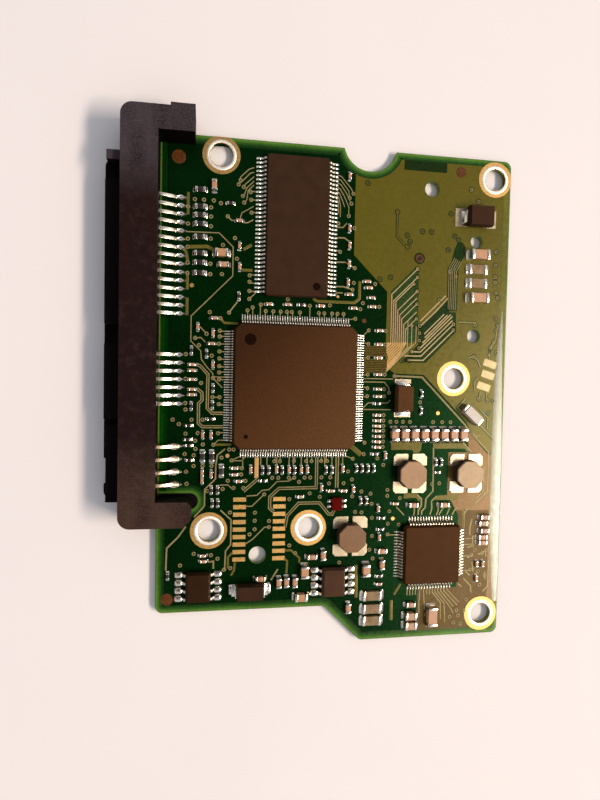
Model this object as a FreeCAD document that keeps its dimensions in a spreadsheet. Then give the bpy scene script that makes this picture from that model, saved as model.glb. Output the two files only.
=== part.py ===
# Hard drive circuit board: a green laminate board with an edge connector, three large chips,
# two eight-lead chips, inductors, diodes, a shock sensor and many small chip parts.
# Millimetres, +Z up, component side up. The origin is under the middle of the whole part,
# on the surface that the board's underside rests on.
import FreeCAD, Part
import math
import os
import Sketcher

Vector = FreeCAD.Vector
UP = Vector(0, 0, 1)
NO_SHIFT = Vector(0, 0, 0)

doc = FreeCAD.newDocument("drive_board")
sheet = doc.addObject("Spreadsheet::Sheet", "sheet")

# Driving dimensions. Places on the board are given from its left edge and down from its top edge.
DIMENSIONS = {
    # Board outline
    "board_width": 57.95,
    "board_length": 80.7,
    "board_thickness": 1.0,
    "left_length": 74.65,
    "step_start": 27.2,
    "step_end": 33.3,
    "corner_radius": 1.2,
    "notch_middle": 33.4,
    "notch_above": 1.05,
    "notch_radius": 4.5,
    "slot_top": 55.65,
    "slot_width": 2.5,
    "slot_reach": 6.4,
    "screw_hole_radius": 1.8,
    "screw_ring_radius": 2.95,
    "plating": 0.05,
    # Contact pads on the board
    "head_pad_left": 13.03,
    "head_pad_right": 19.45,
    "head_pad_first": 56.75,
    "head_pad_pitch": 1.21,
    "head_pad_count": 9,
    "head_pad_length": 2.05,
    "head_pad_width": 0.7,
    "motor_pad_length": 2.4,
    "motor_pad_width": 1.25,
    "motor_pad_turn": -17,
    # Edge connector
    "bar_left": 5.15,
    "bar_right": 0.2,
    "bar_above": 1.95,
    "bar_bottom": 59.9,
    "connector_height": 6.0,
    "edge_gap": 0.1,
    "arm_overhang": 2.4,
    "arm_step": 1.9,
    "arm_reach": 5.45,
    "upper_arm_bottom": 1.55,
    "lower_arm_top": 56.0,
    "arm_tip_cut": 1.2,
    "bar_corner": 1.75,
    "mating_reach": 7.9,
    "mating_top": 4.58,
    "mating_bottom": 56.3,
    "mating_floor": 0.9,
    "end_wall_height": 3.8,
    "top_wall_height": 4.8,
    "jumper_roof": 0.7,
    "end_wall_reach": 7.2,
    "end_wall": 1.4,
    "divider_top": 44.6,
    "divider_bottom": 46.0,
    "front_notch_top": 50.0,
    "front_notch_bottom": 54.0,
    "front_notch_depth": 0.4,
    "tongue_reach": 7.5,
    "tongue_level": 2.6,
    "tongue_thickness": 1.2,
    "key_thickness": 1.2,
    "key_drop": 1.1,
    "power_tongue_top": 8.5,
    "power_tongue_bottom": 29.6,
    "signal_tongue_top": 32.6,
    "signal_tongue_bottom": 43.8,
    # Connector contacts
    "power_first": 9.73,
    "signal_first": 33.86,
    "contact_pitch": 1.27,
    "power_count": 15,
    "signal_count": 7,
    "contact_width": 0.5,
    "contact_thickness": 0.25,
    "contact_tip": 7.3,
    "tail_drop": 0.86,
    "tail_bend": 2.1,
    "tail_foot": 2.6,
    "tail_end": 3.45,
    "jumper_first": 48.16,
    "jumper_pitch": 2.0,
    "jumper_count": 4,
    "jumper_width": 0.5,
    # Controller chip
    "controller_x": 21.63,
    "controller_y": 38.62,
    "controller_size": 20.0,
    "controller_span": 22.0,
    "controller_pitch": 0.4,
    "controller_side_leads": 44,
    "controller_lead_width": 0.19,
    "controller_height": 1.4,
    "controller_mark_radius": 0.95,
    "controller_dot_radius": 0.36,
    # Memory chip
    "memory_x": 21.48,
    "memory_y": 13.2,
    "memory_width": 10.16,
    "memory_length": 22.22,
    "memory_span": 12.2,
    "memory_pitch": 0.65,
    "memory_side_leads": 33,
    "memory_lead_width": 0.3,
    "memory_height": 1.0,
    "memory_mark_radius": 0.65,
    # Motor driver chip
    "driver_x": 45.3,
    "driver_y": 66.35,
    "driver_size": 10.0,
    "driver_span": 12.0,
    "driver_pitch": 0.5,
    "driver_side_leads": 16,
    "driver_lead_width": 0.24,
    "driver_height": 1.4,
    # Eight-lead chips
    "left_chip_x": 6.65,
    "middle_chip_x": 28.5,
    "small_chip_y": 70.45,
    "small_chip_width": 3.9,
    "small_chip_length": 4.9,
    "small_chip_span": 6.0,
    "small_chip_pitch": 1.27,
    "small_chip_side_leads": 4,
    "small_chip_lead_width": 0.42,
    "small_chip_height": 1.45,
    # What all chips share
    "chip_standoff": 0.1,
    "chip_draft": 24,
    "chip_corner": 0.35,
    "controller_corner": 1.0,
    "lead_thickness": 0.15,
    "mark_depth": 0.06,
    # Power inductors
    "inductor_base": 4.6,
    "inductor_top": 4.5,
    "inductor_base_thickness": 0.45,
    "inductor_top_thickness": 0.6,
    "inductor_waist_radius": 1.6,
    "inductor_winding_radius": 2.05,
    "inductor_winding_height": 0.8,
    "inductor_corner": 1.3,
    "terminal_thickness": 0.2,
    "terminal_length": 2.55,
    "terminal_width": 2.0,
    "terminal_cut": 0.5,
    "terminal_span_x": 5.85,
    "terminal_span_y": 6.65,
    # Power diodes
    "diode_length": 4.3,
    "diode_width": 2.9,
    "diode_height": 1.95,
    "diode_draft": 10,
    "diode_terminal_width": 2.0,
    "diode_terminal_thickness": 0.22,
    "diode_foot": 1.1,
    "diode_toe": 0.75,
    "diode_terminal_rise": 1.2,
    "wide_diode_width": 3.4,
    "slim_diode_width": 2.5,
    # Shock sensor and the small red part
    "sensor_x": 51.96,
    "sensor_y": 42.8,
    "sensor_turn": -42,
    "sensor_length": 4.0,
    "sensor_width": 1.55,
    "sensor_height": 1.4,
    "sensor_end": 0.5,
    "red_part_x": 28.9,
    "red_part_y": 57.6,
    "red_part_width": 1.7,
    "red_part_length": 2.1,
    "red_part_height": 0.8,
    "red_part_pad_width": 0.45,
    "red_part_pad_length": 0.75,
    "red_part_pad_height": 0.3,
    "red_part_pad_pitch": 0.9,
    # Chip resistors and capacitors, in four case sizes
    "long_length": 3.2,
    "long_width": 1.6,
    "wide_length": 2.0,
    "wide_width": 1.25,
    "mid_length": 1.6,
    "mid_width": 0.8,
    "tiny_length": 1.0,
    "tiny_width": 0.5,
    "long_resistor_height": 0.6,
    "mid_resistor_height": 0.45,
    "tiny_resistor_height": 0.35,
    "long_capacitor_height": 1.25,
    "wide_capacitor_height": 1.1,
    "mid_capacitor_height": 0.8,
    "tiny_capacitor_height": 0.5,
    "long_end_share": 0.15,
    "wide_end_share": 0.22,
    "mid_end_share": 0.22,
    "tiny_end_share": 0.22,
    "row_capacitor_first": 38.47,
    "row_capacitor_pitch": 1.726,
    "row_capacitor_count": 8,
    "row_capacitor_y": 46.2,
}

SCREW_HOLES = [(9.4, 2.75), (55.1, 3.2), (8.2, 61.65), (24.3, 61.55), (48.7, 36.75), (54.85, 77.2)]
LOCATING_HOLES = [(44.0, 5.5, 1.2), (52.1, 13.7, 1.0), (52.05, 29.5, 1.1), (16.0, 65.8, 1.35)]
MOTOR_PADS = [(55.2, 34.1), (54.9, 36.0), (54.2, 38.0)]
INDUCTORS = [(41.4, 52.75), (51.4, 52.8), (31.3, 63.1)]
DIODES = [
    # name, x, y, turn, body length and width
    ("upper_diode", 52.1, 9.75, 0, "diode_length", "wide_diode_width"),
    ("middle_diode", 39.65, 40.2, 90, "diode_length", "diode_width"),
    ("lower_diode", 14.85, 71.4, 0, "diode_length", "slim_diode_width"),
]

# Chip parts: case size, turn, and their middles on the board
FLAT = 0
UPRIGHT = 90
LARGE_RESISTORS = [
    ("long", FLAT, [(52.3, 18.35), (52.3, 20.65), (35.26, 73.2), (35.26, 75.4), (35.26, 77.4)]),
]
RESISTORS = [
    ("mid", FLAT, [(6.25, y) for y in (8.3, 10.9, 12.2, 13.55, 15.55, 18.05, 19.5, 21.1)]),
    ("mid", UPRIGHT, [(7.05, 49.8), (8.5, 49.8), (10.05, 52.1)]),
    ("tiny", UPRIGHT, [(x, 51.85) for x in (32.1, 33.1, 34.1, 35.1)]),
    ("tiny", UPRIGHT, [(x, 52.05) for x in (16.6, 17.6, 19.8, 21.8, 27.0, 28.0)]),
    ("tiny", UPRIGHT, [(8.65, 57.25), (9.55, 57.25), (8.5, 55.15), (9.5, 55.15)]),
    ("tiny", UPRIGHT, [(32.95, 57.25), (33.95, 57.25)]),
    ("tiny", UPRIGHT, [(12.4, 24.45), (5.15, 33.15), (7.5, 33.6), (5.2, 41.85), (8.55, 39.0), (8.5, 41.65)]),
    ("tiny", UPRIGHT, [(1.9, 68.7), (45.9, 50.9), (46.9, 50.9), (43.05, 39.4), (43.05, 42.2)]),
    ("tiny", FLAT, [(10.9, 10.1), (22.4, 25.4), (8.2, 43.85), (4.85, 44.9), (4.7, 47.1), (4.85, 48.05)]),
    ("tiny", FLAT, [(5.0, 50.35), (35.4, 41.1), (16.7, 53.75), (35.2, 49.45), (36.45, 70.0), (46.2, 52.6)]),
    ("tiny", FLAT, [(36.6, 60.2), (36.5, 62.1)]),
]
LARGE_CAPACITORS = [
    ("long", FLAT, [(52.45, 15.9), (52.48, 23.1)]),
    ("long", UPRIGHT, [(45.8, 77.1)]),
    ("wide", FLAT, [(9.6, 17.9), (42.0, 76.85), (42.0, 78.5), (23.2, 72.85)]),
    ("wide", UPRIGHT, [(23.75, 68.7), (34.1, 68.8)]),
]
CAPACITORS = [
    ("mid", UPRIGHT, [(8.37, 7.55), (36.85, 68.0), (26.8, 66.1), (19.55, 70.4), (20.8, 70.3), (22.2, 70.4)]),
    ("mid", FLAT, [(9.95, 19.65), (24.9, 66.3), (42.0, 75.0), (42.0, 58.05), (47.5, 58.1), (36.75, 65.7)]),
    ("mid", FLAT, [(54.9, 60.35), (54.6, 61.4), (54.9, 62.7), (54.6, 63.8), (54.6, 64.75), (16.5, 69.6)]),
    ("mid", UPRIGHT, [(31.2, 75.1)]),
]
TINY_CAPACITORS = [
    ("tiny", FLAT, [(35.5, y) for y in (29.1, 31.35, 33.55, 36.3, 38.7, 39.9)]),
    ("tiny", FLAT, [(35.5, y) for y in (43.0, 43.9, 44.8, 45.6, 46.5, 47.4, 48.3)]),
    ("tiny", FLAT, [(5.3, y) for y in (35.35, 36.25, 37.65, 39.2, 40.05)]),
    ("tiny", FLAT, [(12.3, 12.7), (17.2, 25.5), (20.2, 25.45), (25.6, 25.45), (8.6, 28.0), (8.2, 32.0)]),
    ("tiny", FLAT, [(12.1, 51.65), (12.1, 52.7), (12.8, 53.75), (30.3, 23.4), (31.0, 25.6), (33.2, 21.2)]),
    ("tiny", FLAT, [(33.5, 22.2), (34.0, 23.8), (34.2, 25.25), (38.9, 57.8), (22.8, 56.4), (7.3, 65.6)]),
    ("tiny", FLAT, [(7.4, 66.5), (36.4, 71.3), (27.9, 55.5), (30.0, 55.5)]),
    ("tiny", UPRIGHT, [(12.4, 16.6), (12.45, 19.85), (29.9, 4.5), (30.05, 12.8), (30.1, 15.5), (30.1, 18.5)]),
    ("tiny", UPRIGHT, [(30.0, 21.5), (6.1, 29.45), (8.45, 30.35), (8.5, 35.3), (7.05, 46.4), (8.35, 46.4)]),
    ("tiny", UPRIGHT, [(7.05, 52.4), (7.05, 53.55), (8.45, 52.6), (14.7, 51.9), (18.85, 51.9), (20.9, 52.0)]),
    ("tiny", UPRIGHT, [(22.9, 52.0), (23.9, 52.0), (29.8, 51.85), (37.0, 49.75), (31.65, 55.3)]),
    ("tiny", UPRIGHT, [(26.3, 55.0), (36.0, 58.6), (36.3, 63.4), (53.8, 68.5), (54.9, 68.5), (53.8, 71.0)]),
]

for row, (name, size) in enumerate(DIMENSIONS.items(), 1):
    sheet.set(f"A{row}", name)
    sheet.set(f"B{row}", str(size))
    sheet.setAlias(f"B{row}", name)
doc.recompute()

nodes = []


def number(expression):
    """Value of an expression that reads the sheet."""
    return float(sheet.evalExpression(str(expression)))


def size_of(name):
    """Value of one driving dimension."""
    return float(sheet.get(name))


def across(place):
    """Frame X of a distance from the board's left edge, as an expression."""
    return f"({place}) - (sheet.board_width - sheet.mating_reach) / 2"


def along(place):
    """Frame Y of a distance below the board's top edge, as an expression."""
    return f"(sheet.board_length - sheet.arm_overhang) / 2 - ({place})"


def spot(x, y, z=0.0):
    """Point of the frame at a place on the board."""
    return Vector(number(across(x)), number(along(y)), z)


BOARD_TOP = size_of("board_thickness")


# Sketches, pads and pockets

def new_sketch(body, name, level="0"):
    """Empty sketch of a body at a height above the underside."""
    sketch = body.newObject("Sketcher::SketchObject", name)
    plane = next(feature for feature in body.Origin.OriginFeatures if feature.Role == "XY_Plane")
    sketch.AttachmentSupport = [(plane, "")]
    sketch.MapMode = "FlatFace"
    sketch.setExpression(".AttachmentOffset.Base.z", level)
    return sketch


def pin_point(sketch, geometry, end, x, y):
    """Ties one point of a sketch to its place on the board."""
    for kind, place in (("DistanceX", across(x)), ("DistanceY", along(y))):
        index = sketch.addConstraint(Sketcher.Constraint(kind, -1, 1, geometry, end, number(place)))
        sketch.setExpression(f"Constraints[{index}]", place)


def draw_polygon(sketch, corners):
    """Closed outline whose corners are tied to places on the board."""
    first = sketch.GeometryCount
    count = len(corners)
    points = [spot(x, y) for x, y in corners]
    for index in range(count):
        sketch.addGeometry(Part.LineSegment(points[index], points[(index + 1) % count]))
    for index in range(count):
        following = first + (index + 1) % count
        sketch.addConstraint(Sketcher.Constraint("Coincident", first + index, 2, following, 1))
        pin_point(sketch, first + index, 1, *corners[index])


def draw_rectangle(sketch, left, top, right, bottom):
    """Rectangle between four distances on the board."""
    draw_polygon(sketch, [(left, top), (right, top), (right, bottom), (left, bottom)])


def draw_circle(sketch, x, y, radius):
    """Circle tied to a place on the board."""
    index = sketch.addGeometry(Part.Circle(spot(x, y), UP, number(radius)))
    pin_point(sketch, index, 3, x, y)
    constraint = sketch.addConstraint(Sketcher.Constraint("Radius", index, number(radius)))
    sketch.setExpression(f"Constraints[{constraint}]", str(radius))


def pad(body, sketch, height):
    """Pad of a sketch, upwards."""
    feature = body.newObject("PartDesign::Pad", f"{sketch.Name}_pad")
    feature.Profile = sketch
    feature.setExpression("Length", height)
    sketch.Visibility = False
    doc.recompute()
    return feature


def pocket(body, sketch, depth):
    """Pocket of a sketch, upwards from its own height, which has to remove something."""
    before = body.Shape.Volume
    feature = body.newObject("PartDesign::Pocket", f"{sketch.Name}_pocket")
    feature.Profile = sketch
    feature.Reversed = True
    feature.setExpression("Length", depth)
    sketch.Visibility = False
    doc.recompute()
    if body.Shape.Volume >= before:
        raise RuntimeError(f"{sketch.Name} cuts nothing")


def round_corners(body, places, radius):
    """Fillet on the body's upright edges at the given places on the board."""
    points = [spot(x, y) for x, y in places]
    names = []
    for index, edge in enumerate(body.Shape.Edges, 1):
        ends = [vertex.Point for vertex in edge.Vertexes]
        upright = len(ends) == 2 and math.hypot(ends[0].x - ends[1].x, ends[0].y - ends[1].y) < 1e-6
        if upright and any(math.hypot(ends[0].x - p.x, ends[0].y - p.y) < 1e-6 for p in points):
            names.append(f"Edge{index}")
    base = body.Tip
    feature = body.newObject("PartDesign::Fillet", f"{body.Name}_corners")
    feature.Base = (base, names)
    feature.setExpression("Radius", radius)
    doc.recompute()


def add_node(item, label):
    """Keeps a document object as a sub-part under its own label."""
    item.Label = label
    nodes.append(item)
    return item


def group_node(label, solids):
    """Sub-part made of separate like solids."""
    feature = doc.addObject("Part::Feature", label)
    feature.Shape = Part.makeCompound(solids)
    return add_node(feature, label)


# Solids for the groups

def block(x, y, level, length, width, height, turn=0, shift=NO_SHIFT):
    """Box about a place on the board, turned about the upright through that place."""
    solid = Part.makeBox(length, width, height, Vector(shift.x - length / 2, shift.y - width / 2, shift.z))
    solid.Placement = FreeCAD.Placement(spot(x, y, level), FreeCAD.Rotation(UP, turn))
    return solid


def bent_strip(profile, width):
    """Flat strip whose side view, in X and Z, is a closed outline."""
    points = [Vector(x, -width / 2, z) for x, z in profile]
    return Part.Face(Part.makePolygon(points + points[:1])).extrude(Vector(0, width, 0))


def circuit_board():
    """Laminate board with its notch, slot and holes."""
    body = doc.addObject("PartDesign::Body", "circuit_board")
    outline = new_sketch(body, "board_outline")
    corners = [
        ("0", "0"),
        ("sheet.board_width", "0"),
        ("sheet.board_width", "sheet.board_length"),
        ("sheet.step_end", "sheet.board_length"),
        ("sheet.step_start", "sheet.left_length"),
        ("0", "sheet.left_length"),
    ]
    draw_polygon(outline, corners)
    pad(body, outline, "sheet.board_thickness")
    round_corners(body, corners, "sheet.corner_radius")

    notch = new_sketch(body, "board_notch")
    draw_circle(notch, "sheet.notch_middle", "-sheet.notch_above", "sheet.notch_radius")
    pocket(body, notch, "sheet.board_thickness")

    slot_middle = "sheet.slot_top + sheet.slot_width / 2"
    slot_round = "sheet.slot_reach - sheet.slot_width / 2"
    slot = new_sketch(body, "board_slot")
    slot_bottom = "sheet.slot_top + sheet.slot_width"
    draw_rectangle(slot, "-sheet.slot_width", "sheet.slot_top", slot_round, slot_bottom)
    pocket(body, slot, "sheet.board_thickness")
    slot_end = new_sketch(body, "board_slot_end")
    draw_circle(slot_end, slot_round, slot_middle, "sheet.slot_width / 2")
    pocket(body, slot_end, "sheet.board_thickness")

    holes = new_sketch(body, "board_holes")
    for x, y in SCREW_HOLES:
        draw_circle(holes, x, y, "sheet.screw_hole_radius")
    for x, y, radius in LOCATING_HOLES:
        draw_circle(holes, x, y, radius)
    pocket(body, holes, "sheet.board_thickness")
    return add_node(body, "circuit_board")


def screw_rings(board):
    """Plated ring round each screw hole, cut off where the board ends."""
    plating = size_of("plating")
    level_faces = [face for face in board.Shape.Faces if abs(face.CenterOfMass.z - BOARD_TOP) < 1e-6]
    top = max(level_faces, key=lambda face: face.Area)
    film = Part.Face(top.OuterWire).extrude(Vector(0, 0, plating))
    rings = []
    for x, y in SCREW_HOLES:
        disc = Part.makeCylinder(size_of("screw_ring_radius"), plating, spot(x, y, BOARD_TOP))
        hole = Part.makeCylinder(size_of("screw_hole_radius"), plating, spot(x, y, BOARD_TOP))
        rings += disc.cut(hole).common(film).Solids
    return group_node("screw_hole_rings", rings)


def contact_pads():
    """Gold pads for the head cable's contacts and for the motor's contacts."""
    plating = size_of("plating")
    length = size_of("head_pad_length")
    width = size_of("head_pad_width")
    pads = []
    for x in (size_of("head_pad_left"), size_of("head_pad_right")):
        for index in range(int(size_of("head_pad_count"))):
            y = size_of("head_pad_first") + index * size_of("head_pad_pitch")
            pads.append(block(x, y, BOARD_TOP, length, width, plating))
    group_node("head_contact_pads", pads)

    length = size_of("motor_pad_length")
    width = size_of("motor_pad_width")
    turn = size_of("motor_pad_turn")
    pads = [block(x, y, BOARD_TOP, length, width, plating, turn) for x, y in MOTOR_PADS]
    group_node("motor_contact_pads", pads)


def contact_group(label, first, pitch, count, width, thickness):
    """Row of contacts: a straight blade through the housing, and a tail that slopes down to the board."""
    top = size_of("tongue_level")
    tip = -size_of("contact_tip")
    leaves = size_of("bar_right")
    bend = size_of("tail_bend")
    bend_level = top - size_of("tail_drop")
    foot = size_of("tail_foot")
    end = size_of("tail_end")
    profile = [
        (tip, top),
        (leaves, top),
        (bend, bend_level),
        (foot, BOARD_TOP + thickness),
        (end, BOARD_TOP + thickness),
        (end, BOARD_TOP),
        (foot - thickness, BOARD_TOP),
        (bend - thickness, bend_level - thickness),
        (leaves, top - thickness),
        (tip, top - thickness),
    ]
    solids = []
    for index in range(int(count)):
        strip = bent_strip(profile, width)
        strip.Placement = FreeCAD.Placement(spot(0, first + index * pitch), FreeCAD.Rotation())
        solids.append(strip)
    return group_node(label, solids)


def connector():
    """Edge connector: housing with two arms and keyed tongues, the shroud before it, and its contacts."""
    housing = doc.addObject("PartDesign::Body", "housing_blank")
    above = "sheet.connector_height - sheet.board_thickness"

    plan = new_sketch(housing, "housing_plan", "sheet.board_thickness")
    draw_polygon(plan, [
        ("-sheet.bar_left", "-sheet.bar_above"),
        ("sheet.arm_step", "-sheet.bar_above"),
        ("sheet.arm_step", "-sheet.arm_overhang"),
        ("sheet.arm_reach", "-sheet.arm_overhang"),
        ("sheet.arm_reach", "sheet.upper_arm_bottom"),
        ("sheet.bar_right", "sheet.upper_arm_bottom"),
        ("sheet.bar_right", "sheet.lower_arm_top"),
        ("sheet.arm_reach - sheet.arm_tip_cut / 2", "sheet.lower_arm_top"),
        ("sheet.arm_reach", "sheet.lower_arm_top + sheet.arm_tip_cut / 2"),
        ("sheet.arm_reach", "sheet.bar_bottom - sheet.arm_tip_cut"),
        ("sheet.arm_reach - sheet.arm_tip_cut", "sheet.bar_bottom"),
        ("-sheet.bar_left", "sheet.bar_bottom"),
    ])
    pad(housing, plan, above)

    lower = new_sketch(housing, "housing_lower")
    draw_polygon(lower, [
        ("-sheet.bar_left", "-sheet.bar_above"),
        ("sheet.arm_step", "-sheet.bar_above"),
        ("sheet.arm_step", "-sheet.arm_overhang"),
        ("sheet.arm_reach", "-sheet.arm_overhang"),
        ("sheet.arm_reach", "-sheet.edge_gap"),
        ("-sheet.edge_gap", "-sheet.edge_gap"),
        ("-sheet.edge_gap", "sheet.bar_bottom"),
        ("-sheet.bar_left", "sheet.bar_bottom"),
    ])
    pad(housing, lower, "sheet.board_thickness")

    rib_round = "sheet.slot_reach - sheet.slot_width / 2"
    rib_middle = "sheet.slot_top + sheet.slot_width / 2"
    rib_radius = "sheet.slot_width / 2 - sheet.edge_gap"
    rib = new_sketch(housing, "slot_rib")
    draw_rectangle(
        rib,
        "-sheet.edge_gap",
        "sheet.slot_top + sheet.edge_gap",
        rib_round,
        "sheet.slot_top + sheet.slot_width - sheet.edge_gap",
    )
    pad(housing, rib, "sheet.board_thickness")
    rib_end = new_sketch(housing, "slot_rib_end")
    draw_circle(rib_end, rib_round, rib_middle, rib_radius)
    pad(housing, rib_end, "sheet.board_thickness")

    shroud = doc.addObject("PartDesign::Body", "shroud_blank")
    floor = new_sketch(shroud, "mating_floor_plan")
    draw_polygon(floor, [
        ("-sheet.mating_reach", "sheet.mating_top"),
        ("-sheet.bar_left", "sheet.mating_top"),
        ("-sheet.bar_left", "sheet.mating_bottom"),
        ("-sheet.mating_reach", "sheet.mating_bottom"),
        ("-sheet.mating_reach", "sheet.front_notch_bottom"),
        ("-sheet.mating_reach + sheet.front_notch_depth", "sheet.front_notch_bottom"),
        ("-sheet.mating_reach + sheet.front_notch_depth", "sheet.front_notch_top"),
        ("-sheet.mating_reach", "sheet.front_notch_top"),
    ])
    pad(shroud, floor, "sheet.mating_floor")
    round_corners(shroud, [
        ("-sheet.mating_reach", "sheet.mating_top"),
        ("-sheet.mating_reach", "sheet.mating_bottom"),
    ], "sheet.corner_radius")

    outer = "-sheet.end_wall_reach"
    inner = "-sheet.bar_left"
    low = "sheet.end_wall_height"
    for name, top, bottom, height in (
        ("top_wall", "sheet.mating_top", "sheet.mating_top + sheet.end_wall", "sheet.top_wall_height"),
        ("divider", "sheet.divider_top", "sheet.divider_bottom", low),
        ("bottom_wall", "sheet.mating_bottom - sheet.end_wall", "sheet.mating_bottom", low),
    ):
        wall = new_sketch(shroud, name)
        draw_rectangle(wall, outer, top, inner, bottom)
        pad(shroud, wall, height)
    roof = new_sketch(shroud, "jumper_chamber_roof", f"{low} - sheet.jumper_roof")
    draw_rectangle(roof, outer, "sheet.divider_top", inner, "sheet.mating_bottom")
    pad(shroud, roof, "sheet.jumper_roof")

    tongues = new_sketch(housing, "tongues", "sheet.tongue_level")
    keys = new_sketch(housing, "tongue_keys", "sheet.tongue_level - sheet.key_drop")
    for name in ("power", "signal"):
        top = f"sheet.{name}_tongue_top"
        bottom = f"sheet.{name}_tongue_bottom"
        draw_rectangle(tongues, "-sheet.tongue_reach", top, "-sheet.bar_left", bottom)
        key_top = f"{bottom} - sheet.key_thickness"
        draw_rectangle(keys, "-sheet.tongue_reach", key_top, "-sheet.bar_left", bottom)
    pad(housing, tongues, "sheet.tongue_thickness")
    pad(housing, keys, "sheet.key_drop")
    round_corners(housing, [
        ("-sheet.bar_left", "-sheet.bar_above"),
        ("-sheet.bar_left", "sheet.bar_bottom"),
    ], "sheet.bar_corner")
    add_node(shroud, "connector_shroud")

    pitch = size_of("contact_pitch")
    width = size_of("contact_width")
    thickness = size_of("contact_thickness")
    pin = size_of("jumper_width")
    rows = [
        contact_group(
            "power_contacts", size_of("power_first"), pitch, size_of("power_count"), width, thickness
        ),
        contact_group(
            "signal_contacts", size_of("signal_first"), pitch, size_of("signal_count"), width, thickness
        ),
        contact_group(
            "jumper_pins", size_of("jumper_first"), size_of("jumper_pitch"), size_of("jumper_count"), pin, pin
        ),
    ]
    contacts = doc.addObject("Part::Compound", "all_contacts")
    contacts.Links = rows
    bored = doc.addObject("Part::Cut", "connector_housing")
    bored.Base = housing
    bored.Tool = contacts
    doc.recompute()
    return add_node(bored, "connector_housing")


CHIP_FOOT = ("sheet.chip_standoff", "sheet.chip_draft")
DIODE_FOOT = ("sheet.diode_terminal_thickness", "sheet.diode_draft")


def chip_body(label, x, y, width, length, height, corner, foot=CHIP_FOOT, marks=()):
    """Moulded chip body: widest at its middle, drawn in above and below, with cut corners.

    foot is the body's height over the board and the draft of its sides.
    """
    standoff, draft = foot
    body = doc.addObject("PartDesign::Body", label)
    middle = f"sheet.board_thickness + {standoff} + ({height}) / 2"
    plan = new_sketch(body, f"{label}_plan", middle)
    left = f"{x} - ({width}) / 2"
    right = f"{x} + ({width}) / 2"
    top = f"{y} - ({length}) / 2"
    bottom = f"{y} + ({length}) / 2"
    draw_polygon(plan, [
        (f"{left} + {corner}", top),
        (f"{right} - {corner}", top),
        (right, f"{top} + {corner}"),
        (right, f"{bottom} - {corner}"),
        (f"{right} - {corner}", bottom),
        (f"{left} + {corner}", bottom),
        (left, f"{bottom} - {corner}"),
        (left, f"{top} + {corner}"),
    ])
    moulding = pad(body, plan, f"({height}) / 2")
    moulding.SideType = "Two sides"
    moulding.setExpression("Length2", f"({height}) / 2")
    moulding.setExpression("TaperAngle", f"-{draft}")
    moulding.setExpression("TaperAngle2", f"-{draft}")
    doc.recompute()
    if marks:
        face = f"sheet.board_thickness + {standoff} + {height} - sheet.mark_depth"
        dimples = new_sketch(body, f"{label}_marks", face)
        for mark in marks:
            draw_circle(dimples, *mark)
        pocket(body, dimples, "sheet.mark_depth")
    return add_node(body, label)


def gull_lead(reach, half_span, shoulder, width):
    """One gull-wing lead pointing along +X, from the body's side to the foot's end."""
    thickness = size_of("lead_thickness")
    rise = half_span - reach
    bend = reach + rise * 0.24
    foot = reach + rise * 0.55
    return bent_strip([
        (reach, shoulder + thickness / 2),
        (bend, shoulder + thickness / 2),
        (foot, BOARD_TOP + thickness),
        (half_span, BOARD_TOP + thickness),
        (half_span, BOARD_TOP),
        (foot - thickness * 0.7, BOARD_TOP),
        (bend - thickness * 0.7, shoulder - thickness / 2),
        (reach, shoulder - thickness / 2),
    ], width)


def chip_leads(label, x, y, name, body_width, turns):
    """Rows of leads on the chosen sides of a chip."""
    pitch = size_of(f"{name}_pitch")
    count = int(size_of(f"{name}_side_leads"))
    shoulder = BOARD_TOP + size_of("chip_standoff") + size_of(f"{name}_height") / 2
    half_span = size_of(f"{name}_span") / 2
    solids = []
    for turn in turns:
        for index in range(count):
            lead = gull_lead(body_width / 2, half_span, shoulder, size_of(f"{name}_lead_width"))
            lead.translate(Vector(0, (index - (count - 1) / 2) * pitch, 0))
            turned = FreeCAD.Placement(spot(x, y), FreeCAD.Rotation(UP, turn))
            lead.Placement = turned.multiply(lead.Placement)
            solids.append(lead)
    return group_node(label, solids)


ALL_SIDES = (0, 90, 180, 270)
LEFT_AND_RIGHT = (0, 180)


def chips():
    """The three large chips and the two eight-lead chips."""
    x = "sheet.controller_x"
    y = "sheet.controller_y"
    mark_way = "sheet.controller_size * 0.37"
    dot_way = "sheet.controller_size * 0.395"
    controller_marks = [
        (f"{x} - {mark_way}", f"{y} - {mark_way}", "sheet.controller_mark_radius"),
        (f"{x} - {dot_way}", f"{y} + {dot_way}", "sheet.controller_dot_radius"),
    ]
    chip_body("controller_body", x, y, "sheet.controller_size", "sheet.controller_size",
              "sheet.controller_height", "sheet.controller_corner", marks=controller_marks)
    chip_leads("controller_leads", size_of("controller_x"), size_of("controller_y"), "controller",
               size_of("controller_size"), ALL_SIDES)

    memory_mark = (
        "sheet.memory_x + sheet.memory_width * 0.31",
        "sheet.memory_y + sheet.memory_length * 0.42",
        "sheet.memory_mark_radius",
    )
    chip_body("memory_body", "sheet.memory_x", "sheet.memory_y", "sheet.memory_width", "sheet.memory_length",
              "sheet.memory_height", "sheet.chip_corner", marks=[memory_mark])
    chip_leads("memory_leads", size_of("memory_x"), size_of("memory_y"), "memory", size_of("memory_width"),
               LEFT_AND_RIGHT)

    chip_body("motor_driver_body", "sheet.driver_x", "sheet.driver_y", "sheet.driver_size",
              "sheet.driver_size", "sheet.driver_height", "sheet.chip_corner")
    chip_leads("motor_driver_leads", size_of("driver_x"), size_of("driver_y"), "driver",
               size_of("driver_size"), ALL_SIDES)

    for side in ("left", "middle"):
        chip_body(f"{side}_chip_body", f"sheet.{side}_chip_x", "sheet.small_chip_y", "sheet.small_chip_width",
                  "sheet.small_chip_length", "sheet.small_chip_height", "sheet.chip_corner / 4")
        chip_leads(f"{side}_chip_leads", size_of(f"{side}_chip_x"), size_of("small_chip_y"), "small_chip",
                   size_of("small_chip_width"), LEFT_AND_RIGHT)


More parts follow.
